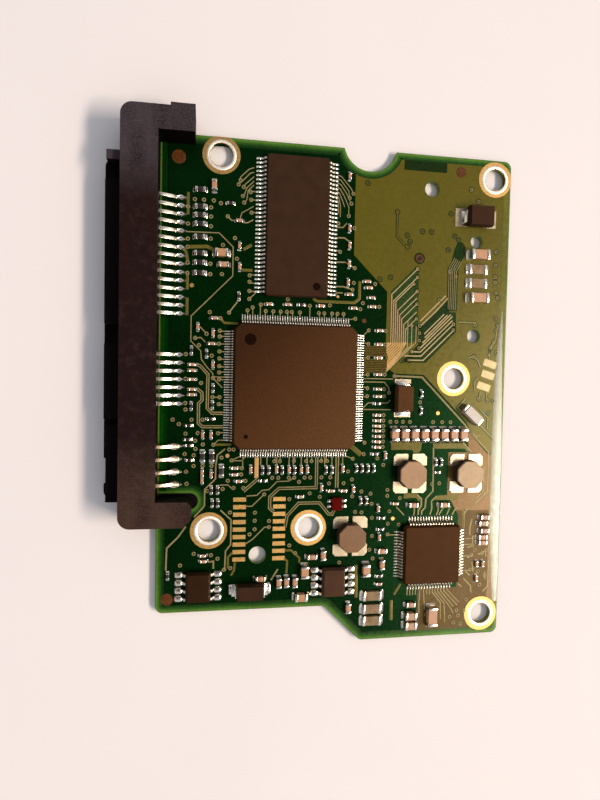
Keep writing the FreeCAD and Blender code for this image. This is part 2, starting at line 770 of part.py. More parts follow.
def cut_square(x, y, width, length, corner):
    """Corners of a square with cut corners about a place on the board, as expressions."""
    near_x = f"({width}) / 2 - ({corner})"
    near_y = f"({length}) / 2 - ({corner})"
    far_x = f"({width}) / 2"
    far_y = f"({length}) / 2"
    steps = [
        (f"-({near_x})", f"-({far_y})"), (near_x, f"-({far_y})"),
        (far_x, f"-({near_y})"), (far_x, near_y),
        (near_x, far_y), (f"-({near_x})", far_y),
        (f"-({far_x})", near_y), (f"-({far_x})", f"-({near_y})"),
    ]
    return [(f"{x} + {step_x}", f"{y} + {step_y}") for step_x, step_y in steps]


def inductor(number_of, x, y):
    """Power inductor: ferrite drum on four corner terminals, with its winding round the waist."""
    label = f"inductor_{number_of}"
    core = doc.addObject("PartDesign::Body", f"{label}_core")
    base_level = "sheet.board_thickness + sheet.terminal_thickness"
    waist_level = f"{base_level} + sheet.inductor_base_thickness"
    top_level = f"{waist_level} + sheet.inductor_winding_height"

    base = new_sketch(core, f"{label}_base", base_level)
    corner = "sheet.inductor_corner"
    draw_polygon(base, cut_square(x, y, "sheet.inductor_base", "sheet.inductor_base", corner))
    pad(core, base, "sheet.inductor_base_thickness")
    waist = new_sketch(core, f"{label}_waist", waist_level)
    draw_circle(waist, x, y, "sheet.inductor_waist_radius")
    pad(core, waist, "sheet.inductor_winding_height")
    flange = new_sketch(core, f"{label}_flange", top_level)
    draw_polygon(flange, cut_square(x, y, "sheet.inductor_top", "sheet.inductor_top", corner))
    pad(core, flange, "sheet.inductor_top_thickness")
    add_node(core, f"{label}_core")

    winding = doc.addObject("PartDesign::Body", f"{label}_winding")
    ring = new_sketch(winding, f"{label}_ring", waist_level)
    draw_circle(ring, x, y, "sheet.inductor_winding_radius")
    draw_circle(ring, x, y, "sheet.inductor_waist_radius")
    pad(winding, ring, "sheet.inductor_winding_height")
    add_node(winding, f"{label}_winding")

    length = size_of("terminal_length")
    width = size_of("terminal_width")
    shift_x = (size_of("terminal_span_x") - length) / 2
    shift_y = (size_of("terminal_span_y") - width) / 2
    cut = size_of("terminal_cut")
    plates = []
    for side_x in (-1, 1):
        for side_y in (-1, 1):
            middle = spot(x, y, BOARD_TOP) + Vector(side_x * shift_x, side_y * shift_y, 0)
            outline = [
                (-length / 2, -width / 2), (length / 2, -width / 2),
                (length / 2, width / 2 - cut), (length / 2 - cut, width / 2), (-length / 2, width / 2),
            ]
            points = [middle + Vector(side_x * u, side_y * v, 0) for u, v in outline]
            plate = Part.Face(Part.makePolygon(points + points[:1]))
            plates.append(plate.extrude(Vector(0, 0, size_of("terminal_thickness"))))
    group_node(f"{label}_terminals", plates)


def diode(label, x, y, turn, length_name, width_name):
    """Power diode: moulded body on two terminals that wrap its ends."""
    length = f"sheet.{length_name}"
    width = f"sheet.{width_name}"
    size = (width, length) if turn else (length, width)
    chip_body(f"{label}_body", str(x), str(y), *size, "sheet.diode_height", "sheet.chip_corner / 3",
              foot=DIODE_FOOT)
    thickness = size_of("diode_terminal_thickness")
    half = size_of(length_name) / 2
    rise = BOARD_TOP + size_of("diode_terminal_rise")
    profile = [
        (half - size_of("diode_foot"), BOARD_TOP),
        (half + size_of("diode_toe"), BOARD_TOP),
        (half + size_of("diode_toe"), BOARD_TOP + thickness),
        (half + thickness, BOARD_TOP + thickness),
        (half + thickness, rise),
        (half, rise),
        (half, BOARD_TOP + thickness),
        (half - size_of("diode_foot"), BOARD_TOP + thickness),
    ]
    ends = []
    for flip in (0, 180):
        end = bent_strip(profile, size_of("diode_terminal_width"))
        end.Placement = FreeCAD.Placement(spot(x, y), FreeCAD.Rotation(UP, turn + flip))
        ends.append(end)
    group_node(f"{label}_terminals", ends)


def shock_sensor():
    """Shock sensor set askew: ceramic body between two metal ends."""
    x = size_of("sensor_x")
    y = size_of("sensor_y")
    turn = size_of("sensor_turn")
    end = size_of("sensor_end")
    width = size_of("sensor_width")
    height = size_of("sensor_height")
    inner = size_of("sensor_length") - 2 * end
    group_node("shock_sensor_body", [block(x, y, BOARD_TOP, inner, width, height, turn)])
    shifts = [Vector(side * (inner + end) / 2, 0, 0) for side in (-1, 1)]
    ends = [block(x, y, BOARD_TOP, end, width * 0.9, height * 0.8, turn, shift) for shift in shifts]
    group_node("shock_sensor_ends", ends)


def red_part():
    """Small red moulded part with a pad at each corner."""
    x = size_of("red_part_x")
    y = size_of("red_part_y")
    width = size_of("red_part_width")
    group_node("red_part_body", [
        block(x, y, BOARD_TOP, width, size_of("red_part_length"), size_of("red_part_height")),
    ])
    pad_length = size_of("red_part_pad_length")
    pitch = size_of("red_part_pad_pitch")
    shifts = [
        Vector(side * (width + pad_length) / 2, step * pitch / 2, 0) for side in (-1, 1) for step in (-1, 1)
    ]
    pad_width = size_of("red_part_pad_width")
    pad_height = size_of("red_part_pad_height")
    pads = [block(x, y, BOARD_TOP, pad_length, pad_width, pad_height, 0, shift) for shift in shifts]
    group_node("red_part_pads", pads)


def chip_parts(label, kind, places):
    """Chip resistors or capacitors: a node of bodies and a node of metal ends."""
    bodies = []
    ends = []
    for case, turn, middles in places:
        length = size_of(f"{case}_length")
        width = size_of(f"{case}_width")
        height = size_of(f"{case}_{kind}_height")
        end = length * size_of(f"{case}_end_share")
        inner = length - 2 * end
        for x, y in middles:
            bodies.append(block(x, y, BOARD_TOP, inner, width * 0.94, height * 0.95, turn))
            for side in (-1, 1):
                shift = Vector(side * (inner + end) / 2, 0, 0)
                ends.append(block(x, y, BOARD_TOP, end, width, height, turn, shift))
    group_node(f"{label}_bodies", bodies)
    group_node(f"{label}_ends", ends)


def main():
    board = circuit_board()
    screw_rings(board)
    contact_pads()
    connector()
    chips()
    for index, (x, y) in enumerate(INDUCTORS, 1):
        inductor(index, x, y)
    for label, x, y, turn, length_name, width_name in DIODES:
        diode(label, x, y, turn, length_name, width_name)
    shock_sensor()
    red_part()

    first = size_of("row_capacitor_first")
    pitch = size_of("row_capacitor_pitch")
    row_y = size_of("row_capacitor_y")
    row_count = int(size_of("row_capacitor_count"))
    row_middles = [(first + index * pitch, row_y) for index in range(row_count)]
    chip_parts("row_capacitor", "capacitor", [("wide", UPRIGHT, row_middles)])
    chip_parts("large_capacitor", "capacitor", LARGE_CAPACITORS)
    chip_parts("small_capacitor", "capacitor", CAPACITORS)
    chip_parts("tiny_capacitor", "capacitor", TINY_CAPACITORS)
    chip_parts("large_resistor", "resistor", LARGE_RESISTORS)
    chip_parts("small_resistor", "resistor", RESISTORS)

    doc.recompute()
    for item in doc.Objects:
        if "Invalid" in item.State or "Error" in item.State:
            raise RuntimeError(f"{item.Name} failed: {item.State}")
    for item in nodes:
        if item.Shape.isNull() or not item.Shape.isValid():
            raise RuntimeError(f"{item.Label} has no valid shape")
    os.makedirs("parts", exist_ok=True)
    for item in nodes:
        item.Shape.exportStep(f"parts/{item.Label}.step")
        print(item.Label, len(item.Shape.Solids), "solids", round(item.Shape.Volume, 3), "mm3")


main()
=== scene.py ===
"""Looks of a hard drive's circuit board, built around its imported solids.

Places on the board are millimetres from its left edge and down from its top edge, seen from above.
"""

import math

import bmesh
import bpy
from mathutils import Matrix, Vector


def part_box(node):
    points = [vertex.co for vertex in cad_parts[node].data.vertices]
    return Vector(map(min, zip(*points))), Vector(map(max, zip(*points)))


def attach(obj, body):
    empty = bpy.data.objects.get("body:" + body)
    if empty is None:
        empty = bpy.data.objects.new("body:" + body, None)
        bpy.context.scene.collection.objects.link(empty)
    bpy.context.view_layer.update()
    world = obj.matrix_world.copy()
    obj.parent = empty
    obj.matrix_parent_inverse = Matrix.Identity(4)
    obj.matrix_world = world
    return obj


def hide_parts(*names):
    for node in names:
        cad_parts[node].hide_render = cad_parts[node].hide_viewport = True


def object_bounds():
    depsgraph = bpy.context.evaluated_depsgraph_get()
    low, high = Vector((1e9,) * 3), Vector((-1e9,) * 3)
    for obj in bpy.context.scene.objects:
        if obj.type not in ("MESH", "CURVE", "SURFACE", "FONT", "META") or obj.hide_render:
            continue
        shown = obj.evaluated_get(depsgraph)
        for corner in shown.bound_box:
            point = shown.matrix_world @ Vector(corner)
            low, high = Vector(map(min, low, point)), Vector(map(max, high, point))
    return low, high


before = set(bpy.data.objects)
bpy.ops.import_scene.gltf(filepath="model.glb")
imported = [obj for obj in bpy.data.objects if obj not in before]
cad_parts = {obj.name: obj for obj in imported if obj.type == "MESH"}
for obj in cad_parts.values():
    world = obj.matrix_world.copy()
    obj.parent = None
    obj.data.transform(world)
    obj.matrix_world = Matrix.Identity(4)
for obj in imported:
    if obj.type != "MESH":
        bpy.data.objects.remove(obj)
CAD_LOW, CAD_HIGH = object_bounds()

# A millimetre in metres, and the board's box
MM = 0.001
BOARD_LOW, BOARD_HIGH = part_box("circuit_board")

# Levels of the films above the board's face, in millimetres
RIM_TOP = 0.008
PLANE_TOP = 0.014
POUR_TOP = 0.020
GAP_TOP = 0.026
BEAD_TOP = 0.030
HOLE_TOP = 0.030
TRACK_TOP = 0.050
PLATING = 0.050
PATCH_TOP = 0.055
PAD_TOP = 0.060
SEAM_LEVEL = 0.062

# Film sizes, in millimetres
RIM_STEPS = 5
RIM_FOOT = 0.07
RIM_INSET = 0.16
RIM_OVERLAP = 0.02
EDGE_BAND = 1.35
HOLE_CLEARANCE = 0.1
VIA_RADIUS = 0.34
VIA_HOLE = 0.14
VIA_FLOOR = 0.175
VIA_CLEARANCE = 0.50
TRACK_GAP = 0.36
DULL_WIDTH = 0.35
EDGE_LINE_WIDTH = 0.09
SLANT_WIDTH = 0.26
RUN_WIDTH = 0.15
UPRIGHT_WIDTH = 0.2
OUTER_WIDTH = 0.16
ESCAPE_WIDTH = 0.18


def spot(x, y, z=0.0):
    """The point at a place on the board, z millimetres above its face."""
    return Vector((BOARD_LOW.x + x * MM, BOARD_HIGH.y - y * MM, BOARD_HIGH.z + z * MM))


def place_of(point):
    """The place on the board that a point is over."""
    return Vector(((point.x - BOARD_LOW.x) / MM, (BOARD_HIGH.y - point.y) / MM))


# Materials

# Range of the noise that ramps and spans use
NOISE_LOW = 0.3
NOISE_HIGH = 0.7

# Tints of the gloss
MASK_GLOSS = (0.5, 1.0, 0.45)
GREEN_GLOSS = (0.25, 1.0, 0.3)
RIM_GLOSS = (0.7, 1.0, 0.4)
BEAD_GLOSS = (1.0, 1.0, 0.92)
OLIVE_GLOSS = (1.0, 0.86, 0.40)
WARM_GLOSS = (1.0, 0.62, 0.34)
BROWN_GLOSS = (1.0, 0.52, 0.26)
RED_GLOSS = (1.0, 0.12, 0.08)
DUST_GLOSS = (1.0, 0.80, 0.78)
FERRITE_GLOSS = (1.0, 0.72, 0.50)

# Strengths of a tone, for its ramp
NARROW = (0.95, 1.0, 1.05)
EVEN = (0.8, 1.0, 1.2)
BROAD = (0.7, 1.0, 1.3)

# How much of the broad clouds shows in a finish, over the range of its fine noise
CLOUD_SHARES = (0.5, 0.8)

# Roughness and relief of lacquer and of moulding compound
MASK_ROUGH = (0.24, 0.32)
MASK_RELIEF = 0.0006
COMPOUND_ROUGH = (0.52, 0.62)
COMPOUND_RELIEF = 0.006
COMPOUND_GRAIN = 0.16


def start(name):
    """A new material, its node tree and its shader."""
    material = bpy.data.materials.new(name)
    material.use_nodes = True
    tree = material.node_tree
    return material, tree, tree.nodes["Principled BSDF"]


def feed(tree, value, socket):
    """Link a node's output to a socket, or set the socket to a plain value."""
    if isinstance(value, bpy.types.NodeSocket):
        tree.links.new(value, socket)
    else:
        socket.default_value = value


def add_node(tree, kind, output, *values, **named):
    """The output of a new node. Names in small letters set it up, and the others are its inputs."""
    made = tree.nodes.new("ShaderNode" + kind)
    for name, value in named.items():
        if name.islower():
            setattr(made, name, value)
    for index, value in enumerate(values):
        feed(tree, value, made.inputs[index])
    for name, value in named.items():
        if not name.islower():
            feed(tree, value, made.inputs[name.replace("_", " ")])
    return made.outputs[output]


def noise(tree, size, detail=2.0, stretch=(1.0, 1.0, 1.0)):
    """Noise with features of about this size in millimetres, in the object's own space."""
    where = add_node(tree, "Mapping", "Vector", Vector=add_node(tree, "TexCoord", "Object"), Scale=stretch)
    return add_node(tree, "TexNoise", "Fac", Vector=where, Scale=1 / (size * MM), Detail=detail)


def ramp(tree, factor, tones):
    """Colour that runs evenly through the tones as the noise goes from its low to its high values."""
    colour = add_node(tree, "ValToRGB", "Color", Fac=factor)
    stops = colour.node.color_ramp.elements
    while len(stops) < len(tones):
        stops.new(0.5)
    for index, tone in enumerate(tones):
        stops[index].position = NOISE_LOW + (NOISE_HIGH - NOISE_LOW) * index / (len(tones) - 1)
        stops[index].color = (*tone, 1.0)
    return colour


def span(tree, factor, low, high):
    """Value that runs from low to high as the noise goes from its low to its high values."""
    limits = {"From_Min": NOISE_LOW, "From_Max": NOISE_HIGH, "To_Min": low, "To_Max": high}
    return add_node(tree, "MapRange", "Result", Value=factor, **limits)


def rise(tree, low, high):
    """Share that goes from 0 to 1 between two heights over the part's foot, in millimetres."""
    height = add_node(tree, "SeparateXYZ", "Z", Vector=add_node(tree, "TexCoord", "Object"))
    return add_node(tree, "MapRange", "Result", Value=height, From_Min=low * MM, From_Max=high * MM)


def way_along(tree, first, last):
    """Factor for a ramp, from its first tone at one place on the board to its last tone at another."""
    run = spot(*last) - spot(*first)
    where = add_node(tree, "TexCoord", "Object")
    gone = add_node(tree, "VectorMath", "Vector", where, spot(*first), operation="SUBTRACT")
    along = add_node(tree, "VectorMath", "Value", gone, run / run.length_squared, operation="DOT_PRODUCT")
    return add_node(tree, "MapRange", "Result", Value=along, To_Min=NOISE_LOW, To_Max=NOISE_HIGH)


def levelness(tree):
    """Share that is 1 on level faces and 0 on upright ones."""
    upward = add_node(tree, "SeparateXYZ", "Z", Vector=add_node(tree, "NewGeometry", "Normal"))
    return add_node(tree, "Math", "Value", upward, operation="ABSOLUTE")


def product(tree, first, second):
    """Two shares multiplied."""
    return add_node(tree, "Math", "Value", first, second, operation="MULTIPLY")


def mixed(tree, factor, first, second):
    """Colour between two colour outputs."""
    return add_node(tree, "Mix", "Result", data_type="RGBA", Factor=factor, A=first, B=second)


def scaled(tone, *shares):
    """The tone at several strengths, for a ramp."""
    return [tuple(part * share for part in tone) for share in shares]


def gloss(level, tint):
    """How much a surface mirrors, and in what tone."""
    return {"Specular_IOR_Level": level, "Specular_Tint": (*tint, 1.0)}


def coat(tree, shader, colour, fine, rough, depth, **constants):
    """Give a shader its colour, a roughness and a relief that follow the fine noise, and its constants."""
    feed(tree, colour, shader.inputs["Base Color"])
    feed(tree, span(tree, fine, *rough), shader.inputs["Roughness"])
    if depth:
        relief = add_node(tree, "Bump", "Normal", Height=fine, Distance=depth * MM)
        feed(tree, relief, shader.inputs["Normal"])
    for name, value in constants.items():
        shader.inputs[name.replace("_", " ")].default_value = value


def finish(name, tones, grain, rough, depth=0.0, patches=0.0, **constants):
    """A surface whose colour runs through the tones and whose roughness runs over a range.

    grain is the size of the fine noise, depth is its relief, and patches is the size of broad cloudy
    changes that take a part in the colour, all in millimetres. The constants are the shader's own.
    """
    material, tree, shader = start(name)
    fine = noise(tree, grain)
    colour = ramp(tree, fine, tones)
    if patches:
        broad = ramp(tree, noise(tree, patches), tones)
        colour = mixed(tree, span(tree, fine, *CLOUD_SHARES), colour, broad)
    coat(tree, shader, colour, fine, rough, depth, **constants)
    return material


def mask(name, tone, shares, grain, patches, level, tint, rough=MASK_ROUGH):
    """Glossy lacquer in one tone, as it lies over copper or bare laminate."""
    return finish(name, scaled(tone, *shares), grain, rough, MASK_RELIEF, patches, **gloss(level, tint))


def metal(name, tone, shares, grain, rough, depth):
    """Bare metal in one tone."""
    return finish(name, scaled(tone, *shares), grain, rough, depth, Metallic=1.0)


def laminate():
    """Green lacquer on the board's faces, and the cut glass-fibre laminate on its sides."""
    material, tree, shader = start("laminate")
    face = ramp(tree, noise(tree, 5.0), scaled((0.022, 0.075, 0.008), *EVEN))
    fibres = noise(tree, 0.6, 3.0, (0.1, 0.1, 4.0))
    side = ramp(tree, fibres, scaled((0.20, 0.19, 0.05), 0.5, 1.0, 1.3))
    colour = mixed(tree, levelness(tree), side, face)
    coat(tree, shader, colour, noise(tree, 0.5), (0.22, 0.32), 0.002, **gloss(0.30, MASK_GLOSS))
    return material


def housing_with_dust_and_painted_light():
    """Black moulding, with dust on its high level faces: grey at the upper end, brown at the lower one. The
    lighter high faces are partly painted light, the grey partly painted bluish skylight, and the plain black
    of the lower faces partly painted shade.
    """
    material, tree, shader = start("housing_black")
    fine = noise(tree, 0.16, 4.0)
    black = ramp(tree, fine, scaled((0.0018, 0.0012, 0.0012), 0.6, 1.0, 1.6))
    zones = [GREY_DUST_AND_PAINTED_SKYLIGHT] * 2 + [WORN_BLACK] * 6 + [BROWN_DUST] * 2
    dust = ramp(tree, way_along(tree, (0.0, -2.0), (0.0, 60.0)), zones)
    rubbed = ramp(tree, noise(tree, 0.9, 6.0), scaled(RUBBED_BLACK, 0.35, 0.7, 2.2))
    streaks = noise(tree, 5.0, 6.0, (1.6, 0.5, 1.0))
    specks = noise(tree, 0.25, 4.0)
    share = product(tree, span(tree, streaks, 0.2, 1.0), span(tree, specks, 0.3, 1.0))
    worn = mixed(tree, share, dust, rubbed)
    # Dust and painted light on the high level faces; the black left on the lower faces stands partly for
    # painted shade
    dust_and_light_faces = product(tree, levelness(tree), rise(tree, 4.2, 4.7))
    colour = mixed(tree, dust_and_light_faces, black, worn)
    coat(tree, shader, colour, fine, (0.48, 0.66), 0.010, **gloss(0.07, DUST_GLOSS))
    return material


def ferrite(name, tone):
    """Pressed ferrite: a tan top, and a dark base under it that is partly its own dark tone and partly
    painted shade.
    """
    material, tree, shader = start(name)
    fine = noise(tree, 0.18)
    top = ramp(tree, noise(tree, 0.9, 4.0), scaled(tone, 0.9, 1.0, 1.08))
    base = ramp(tree, fine, scaled((0.022, 0.013, 0.008), *BROAD))
    # Below the top the tone turns dark: the base's own colour and painted shade under the top
    colour = mixed(tree, rise(tree, 2.2, 3.2), base, top)
    coat(tree, shader, colour, fine, (0.46, 0.62), 0.006, **gloss(0.40, FERRITE_GLOSS))
    return material


def compound(name, tone, rough=COMPOUND_ROUGH, level=0.16, tint=BROWN_GLOSS):
    """Moulding compound of a chip: matt, with a fine grain and faint clouds."""
    tones = scaled(tone, 0.78, 1.0, 1.22)
    return finish(name, tones, COMPOUND_GRAIN, rough, COMPOUND_RELIEF, 2.0, **gloss(level, tint))


def compound_with_painted_light(name, tones, first, last):
    """Moulding compound whose tone runs from one place on the board to another: painted light, dark at the
    first place and light at the last.
    """
    material, tree, shader = start(name)
    fine = noise(tree, COMPOUND_GRAIN, 3.0)
    way = way_along(tree, first, last)
    deep = [scaled(tone, 0.6)[0] for tone in tones]
    colour = mixed(tree, span(tree, fine, 0.0, 1.0), ramp(tree, way, tones), ramp(tree, way, deep))
    coat(tree, shader, colour, fine, COMPOUND_ROUGH, COMPOUND_RELIEF, **gloss(0.18, BROWN_GLOSS))
    return material


# Tones on the housing's high faces: the grey at the upper end is dust and painted bluish skylight, the
# others are worn black and brown dust
GREY_DUST_AND_PAINTED_SKYLIGHT = (0.072, 0.060, 0.068)
WORN_BLACK = (0.0165, 0.0065, 0.0055)
RUBBED_BLACK = (0.0185, 0.0100, 0.0095)
BROWN_DUST = (0.078, 0.045, 0.031)
# The first tone is the rim's bright green, painted glow of light through the board's edge
RIM_GLOW_TONE = (0.090, 0.205, 0.028)
PLANE_TONE = (0.0006, 0.0110, 0.0012)
BEAD_TONE = (0.110, 0.100, 0.014)

# Lacquers: tone and its strengths, size of the grain and of the clouds, how much it mirrors, and its tint
MASK_LOOKS = {
    "plane": (PLANE_TONE, (0.7, 1.0, 1.4), 0.5, 5.0, 0.12, GREEN_GLOSS),
    "right_edge": ((0.125, 0.130, 0.018), EVEN, 0.9, 6.0, 0.30, OLIVE_GLOSS),
    # Painted glow along the left edge, bright and dim; the dim one also stands for the connector's painted
    # shade
    "left_edge": ((0.0020, 0.046, 0.0020), BROAD, 0.9, 6.0, 0.12, GREEN_GLOSS),
    "dim_glow_edge": ((0.0012, 0.024, 0.0016), BROAD, 0.9, 6.0, 0.12, GREEN_GLOSS),
    "pour": ((0.105, 0.090, 0.0065), NARROW, 0.9, 6.0, 0.36, OLIVE_GLOSS),
    "lower_pour": ((0.092, 0.060, 0.014), EVEN, 0.9, 4.0, 0.55, WARM_GLOSS),
    "driver_pour": ((0.078, 0.056, 0.014), EVEN, 0.9, 4.0, 0.22, WARM_GLOSS),
    "gap": ((0.008, 0.019, 0.002), EVEN, 0.5, 0.0, 0.20, MASK_GLOSS),
    "bus_gap": ((0.026, 0.050, 0.011), EVEN, 0.5, 0.0, 0.20, MASK_GLOSS),
    "brown_gap": ((0.085, 0.050, 0.012), EVEN, 0.5, 0.0, 0.20, WARM_GLOSS),
    "run_gap": ((0.045, 0.024, 0.004), EVEN, 0.5, 0.0, 0.15, WARM_GLOSS),
    "track": ((0.130, 0.112, 0.022), EVEN, 0.5, 3.0, 0.30, OLIVE_GLOSS),
    "pale_track": ((0.29, 0.240, 0.110), EVEN, 0.5, 3.0, 0.35, OLIVE_GLOSS),
    "bus": ((0.50, 0.40, 0.19), (0.85, 1.0, 1.15), 0.5, 3.0, 0.30, WARM_GLOSS),
    "warm_track": ((0.59, 0.370, 0.130), (0.9, 1.0, 1.1), 0.6, 2.0, 0.35, WARM_GLOSS),
}
MASKS = {name: mask(name + "_mask", *look) for name, look in MASK_LOOKS.items()}
# The rim's lacquer, apart from its tone, and how its tone fades inwards; its bright green is painted glow of
# light through the board's edge
RIM_LOOK = (EVEN, 0.9, 5.0, 0.30, RIM_GLOSS)
RIM_FADE = 1.2
BEAD_ROUGH = (0.18, 0.26)

LAMINATE = laminate()
HOUSING = housing_with_dust_and_painted_light()
COPPER_TONES = scaled((0.110, 0.034, 0.006), *BROAD)
TARGET_COPPER = finish("target_copper", COPPER_TONES, 0.3, (0.35, 0.55), 0.002, Specular_IOR_Level=0.15)
# Dark discs that are painted shade inside the via holes
HOLE_TONES = scaled((0.006, 0.008, 0.003), *BROAD)
HOLE_SHADE = finish("via_hole", HOLE_TONES, 0.2, (0.4, 0.6), Specular_IOR_Level=0.2)
# Dark floors of the chips' dimples, painted as their shade
DIMPLE_TONES = scaled((0.010, 0.003, 0.001), *BROAD)
DIMPLE_SHADE = finish("dimple", DIMPLE_TONES, 0.2, (0.5, 0.6), Specular_IOR_Level=0.02)

GOLD = metal("gold_plate", (0.49, 0.295, 0.098), (0.85, 1.0, 1.08), 0.35, (0.42, 0.52), 0.003)
WORN_GOLD = metal("worn_gold", (0.190, 0.152, 0.082), (0.8, 1.0, 1.15), 0.5, (0.30, 0.42), 0.003)
TIN = metal("tin", (0.80, 0.73, 0.62), (0.78, 1.0, 1.08), 0.25, (0.14, 0.26), 0.008)
TERMINAL = metal("terminal_tin", (0.40, 0.325, 0.22), (0.8, 1.0, 1.12), 2.6, (0.30, 0.42), 0.05)
RING_RIM = metal("ring_rim", (0.93, 0.87, 0.75), (0.95, 1.0, 1.03), 0.4, (0.45, 0.55), 0.002)
LEAD = metal("lead_tin", (0.74, 0.68, 0.56), (0.92, 1.0, 1.04), 0.6, (0.40, 0.48), 0.001)
WARM_LEAD = metal("warm_lead_tin", (0.54, 0.46, 0.33), (0.85, 1.0, 1.06), 0.2, (0.26, 0.40), 0.003)
CONTACT = metal("contact_metal", (0.74, 0.66, 0.50), (0.9, 1.0, 1.05), 0.5, (0.20, 0.28), 0.001)
PIN = metal("pin_metal", (0.80, 0.62, 0.42), (0.85, 1.0, 1.06), 0.3, (0.24, 0.36), 0.002)
WINDING = metal("winding", (0.62, 0.25, 0.10), (0.8, 1.0, 1.15), 0.25, (0.25, 0.36), 0.003)

CHIP_TONES = {
    "motor_driver": (0.052, 0.0203, 0.0062),
    "memory": (0.035, 0.0175, 0.0100),
    "left_chip": (0.021, 0.0090, 0.0038),
    "middle_chip": (0.063, 0.0310, 0.0175),
    "upper_diode": (0.034, 0.0160, 0.0085),
    "middle_diode": (0.082, 0.0350, 0.0110),
    "lower_diode": (0.034, 0.0160, 0.0085),
}
CHIPS = {chip: compound(chip + "_compound", tone) for chip, tone in CHIP_TONES.items()}
# The controller's top is painted lighter from its upper left to its lower right
CONTROLLER_PAINTED_LIGHT_TONES = ((0.036, 0.0125, 0.0042), (0.084, 0.033, 0.0105), (0.122, 0.056, 0.0200))
CHIPS["controller"] = compound_with_painted_light("controller_compound", CONTROLLER_PAINTED_LIGHT_TONES, (14.0, 31.0), (30.0, 47.0))
FERRITE_TONES = {1: (0.48, 0.30, 0.165), 2: (0.66, 0.48, 0.280), 3: (0.245, 0.132, 0.066)}
RED = compound("red_moulding", (0.079, 0.0015, 0.0008), (0.25, 0.40), 0.24, RED_GLOSS)
WHITE = finish("white_ceramic", scaled((0.62, 0.56, 0.46), 0.88, 1.0, 1.08), 0.2, (0.40, 0.55), 0.004, 1.0)
TAN = finish("tan_ceramic", scaled((0.52, 0.265, 0.125), 0.85, 1.0, 1.12), 0.2, (0.36, 0.50), 0.004, 1.0)
GLAZE = finish("dark_glaze", scaled((0.022, 0.015, 0.010), 0.7, 1.0, 1.4), 0.15, (0.24, 0.40), 0.003, 0.8)
BROWN_TONES = scaled((0.27, 0.172, 0.076), 0.6, 1.0, 1.4)
BROWN_GLAZE = finish("brown_glaze", BROWN_TONES, 0.25, (0.28, 0.42), 0.003, 0.8, Specular_IOR_Level=0.25)


# Pieces

# Corners nearer than this, in metres, are one corner
WELD = 1e-7
# Angles between faces, in degrees: flat ones merge, smooth ones are shaded as one, sharp ones are rounded
FLAT_ANGLE = 0.5
SMOOTH_ANGLE = 35.0
SHARP_ANGLE = 30.0


def piece(name, mesh, material):
    """An object of the part, with its material, on the part's one body."""
    mesh.materials.clear()
    mesh.materials.append(material)
    mesh.polygons.foreach_set("use_smooth", [True] * len(mesh.polygons))
    mesh.set_sharp_from_angle(angle=math.radians(SMOOTH_ANGLE))
    made = bpy.data.objects.new(name, mesh)
    bpy.context.scene.collection.objects.link(made)
    even = made.modifiers.new("even_shading", "WEIGHTED_NORMAL")
    even.keep_sharp = True
    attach(made, "root")
    return made


def solid_mesh(node):
    """A node's mesh with its corners welded and its flat faces whole."""
    mesh = bmesh.new()
    mesh.from_mesh(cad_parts[node].data)
    bmesh.ops.remove_doubles(mesh, verts=mesh.verts, dist=WELD)
    bmesh.ops.dissolve_limit(mesh, angle_limit=math.radians(FLAT_ANGLE), verts=mesh.verts, edges=mesh.edges)
    return mesh


def dress(node, material, bevel, segments=2):
    """A copy of a node with rounded edges, which stands for it."""
    mesh = solid_mesh(node)
    joined = [edge for edge in mesh.edges if len(edge.link_faces) == 2]
    sharp = [edge for edge in joined if edge.calc_face_angle() > math.radians(SHARP_ANGLE)]
    limits = {"segments": segments, "profile": 0.5, "affect": "EDGES", "clamp_overlap": True}
    bmesh.ops.bevel(mesh, geom=sharp, offset=bevel * MM, **limits)
    data = bpy.data.meshes.new(node + "_look")
    mesh.to_mesh(data)
    mesh.free()
    if "custom_normal" in data.attributes:
        data.attributes.remove(data.attributes["custom_normal"])
    made = piece(node + "_look", data, material)
    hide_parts(node)


def solids_of(node):
    """Lowest and highest corner of each separate solid in a node."""
    mesh = solid_mesh(node)
    found = []
    for first in mesh.verts:
        if first.tag:
            continue
        first.tag = True
        grown = [first]
        for vertex in grown:
            for edge in vertex.link_edges:
                other = edge.other_vert(vertex)
                if not other.tag:
                    other.tag = True
                    grown.append(other)
        low = Vector(min(vertex.co[axis] for vertex in grown) for axis in range(3))
        high = Vector(max(vertex.co[axis] for vertex in grown) for axis in range(3))
        found.append((low, high))
    mesh.free()
    return found


# Outlines

# How far a mitred corner may reach out, and how far up a face of the board's top has to point
MITRE_LIMIT = 0.35
UPWARD = 0.9


def offset_line(line, distance, closed=False):
    """The line moved to its left by a distance, with mitred corners."""
    count = len(line)
    moved = []
    for index, here in enumerate(line):
        runs = []
        if closed or index:
            runs.append((here - line[index - 1]).normalized())
        if closed or index < count - 1:
            runs.append((line[(index + 1) % count] - here).normalized())
        sides = [Vector((run.y, -run.x)) for run in runs]
        middle = sum(sides, Vector((0.0, 0.0))).normalized()
        moved.append(here + middle * distance / max(MITRE_LIMIT, middle.dot(sides[0])))
    return moved


def corners(places):
    """Places on the board as vectors."""
    return [Vector(place) for place in places]


def arc(x, y, radius, first, last, steps=16):
    """Places round an arc; angles in degrees go from the right towards the bottom edge."""
    angles = [math.radians(first + (last - first) * step / steps) for step in range(steps + 1)]
    return [Vector((x + radius * math.cos(angle), y + radius * math.sin(angle))) for angle in angles]


def oblong(left, top, right, bottom):
    """The corners of an oblong on the board."""
    return corners(((left, top), (right, top), (right, bottom), (left, bottom)))


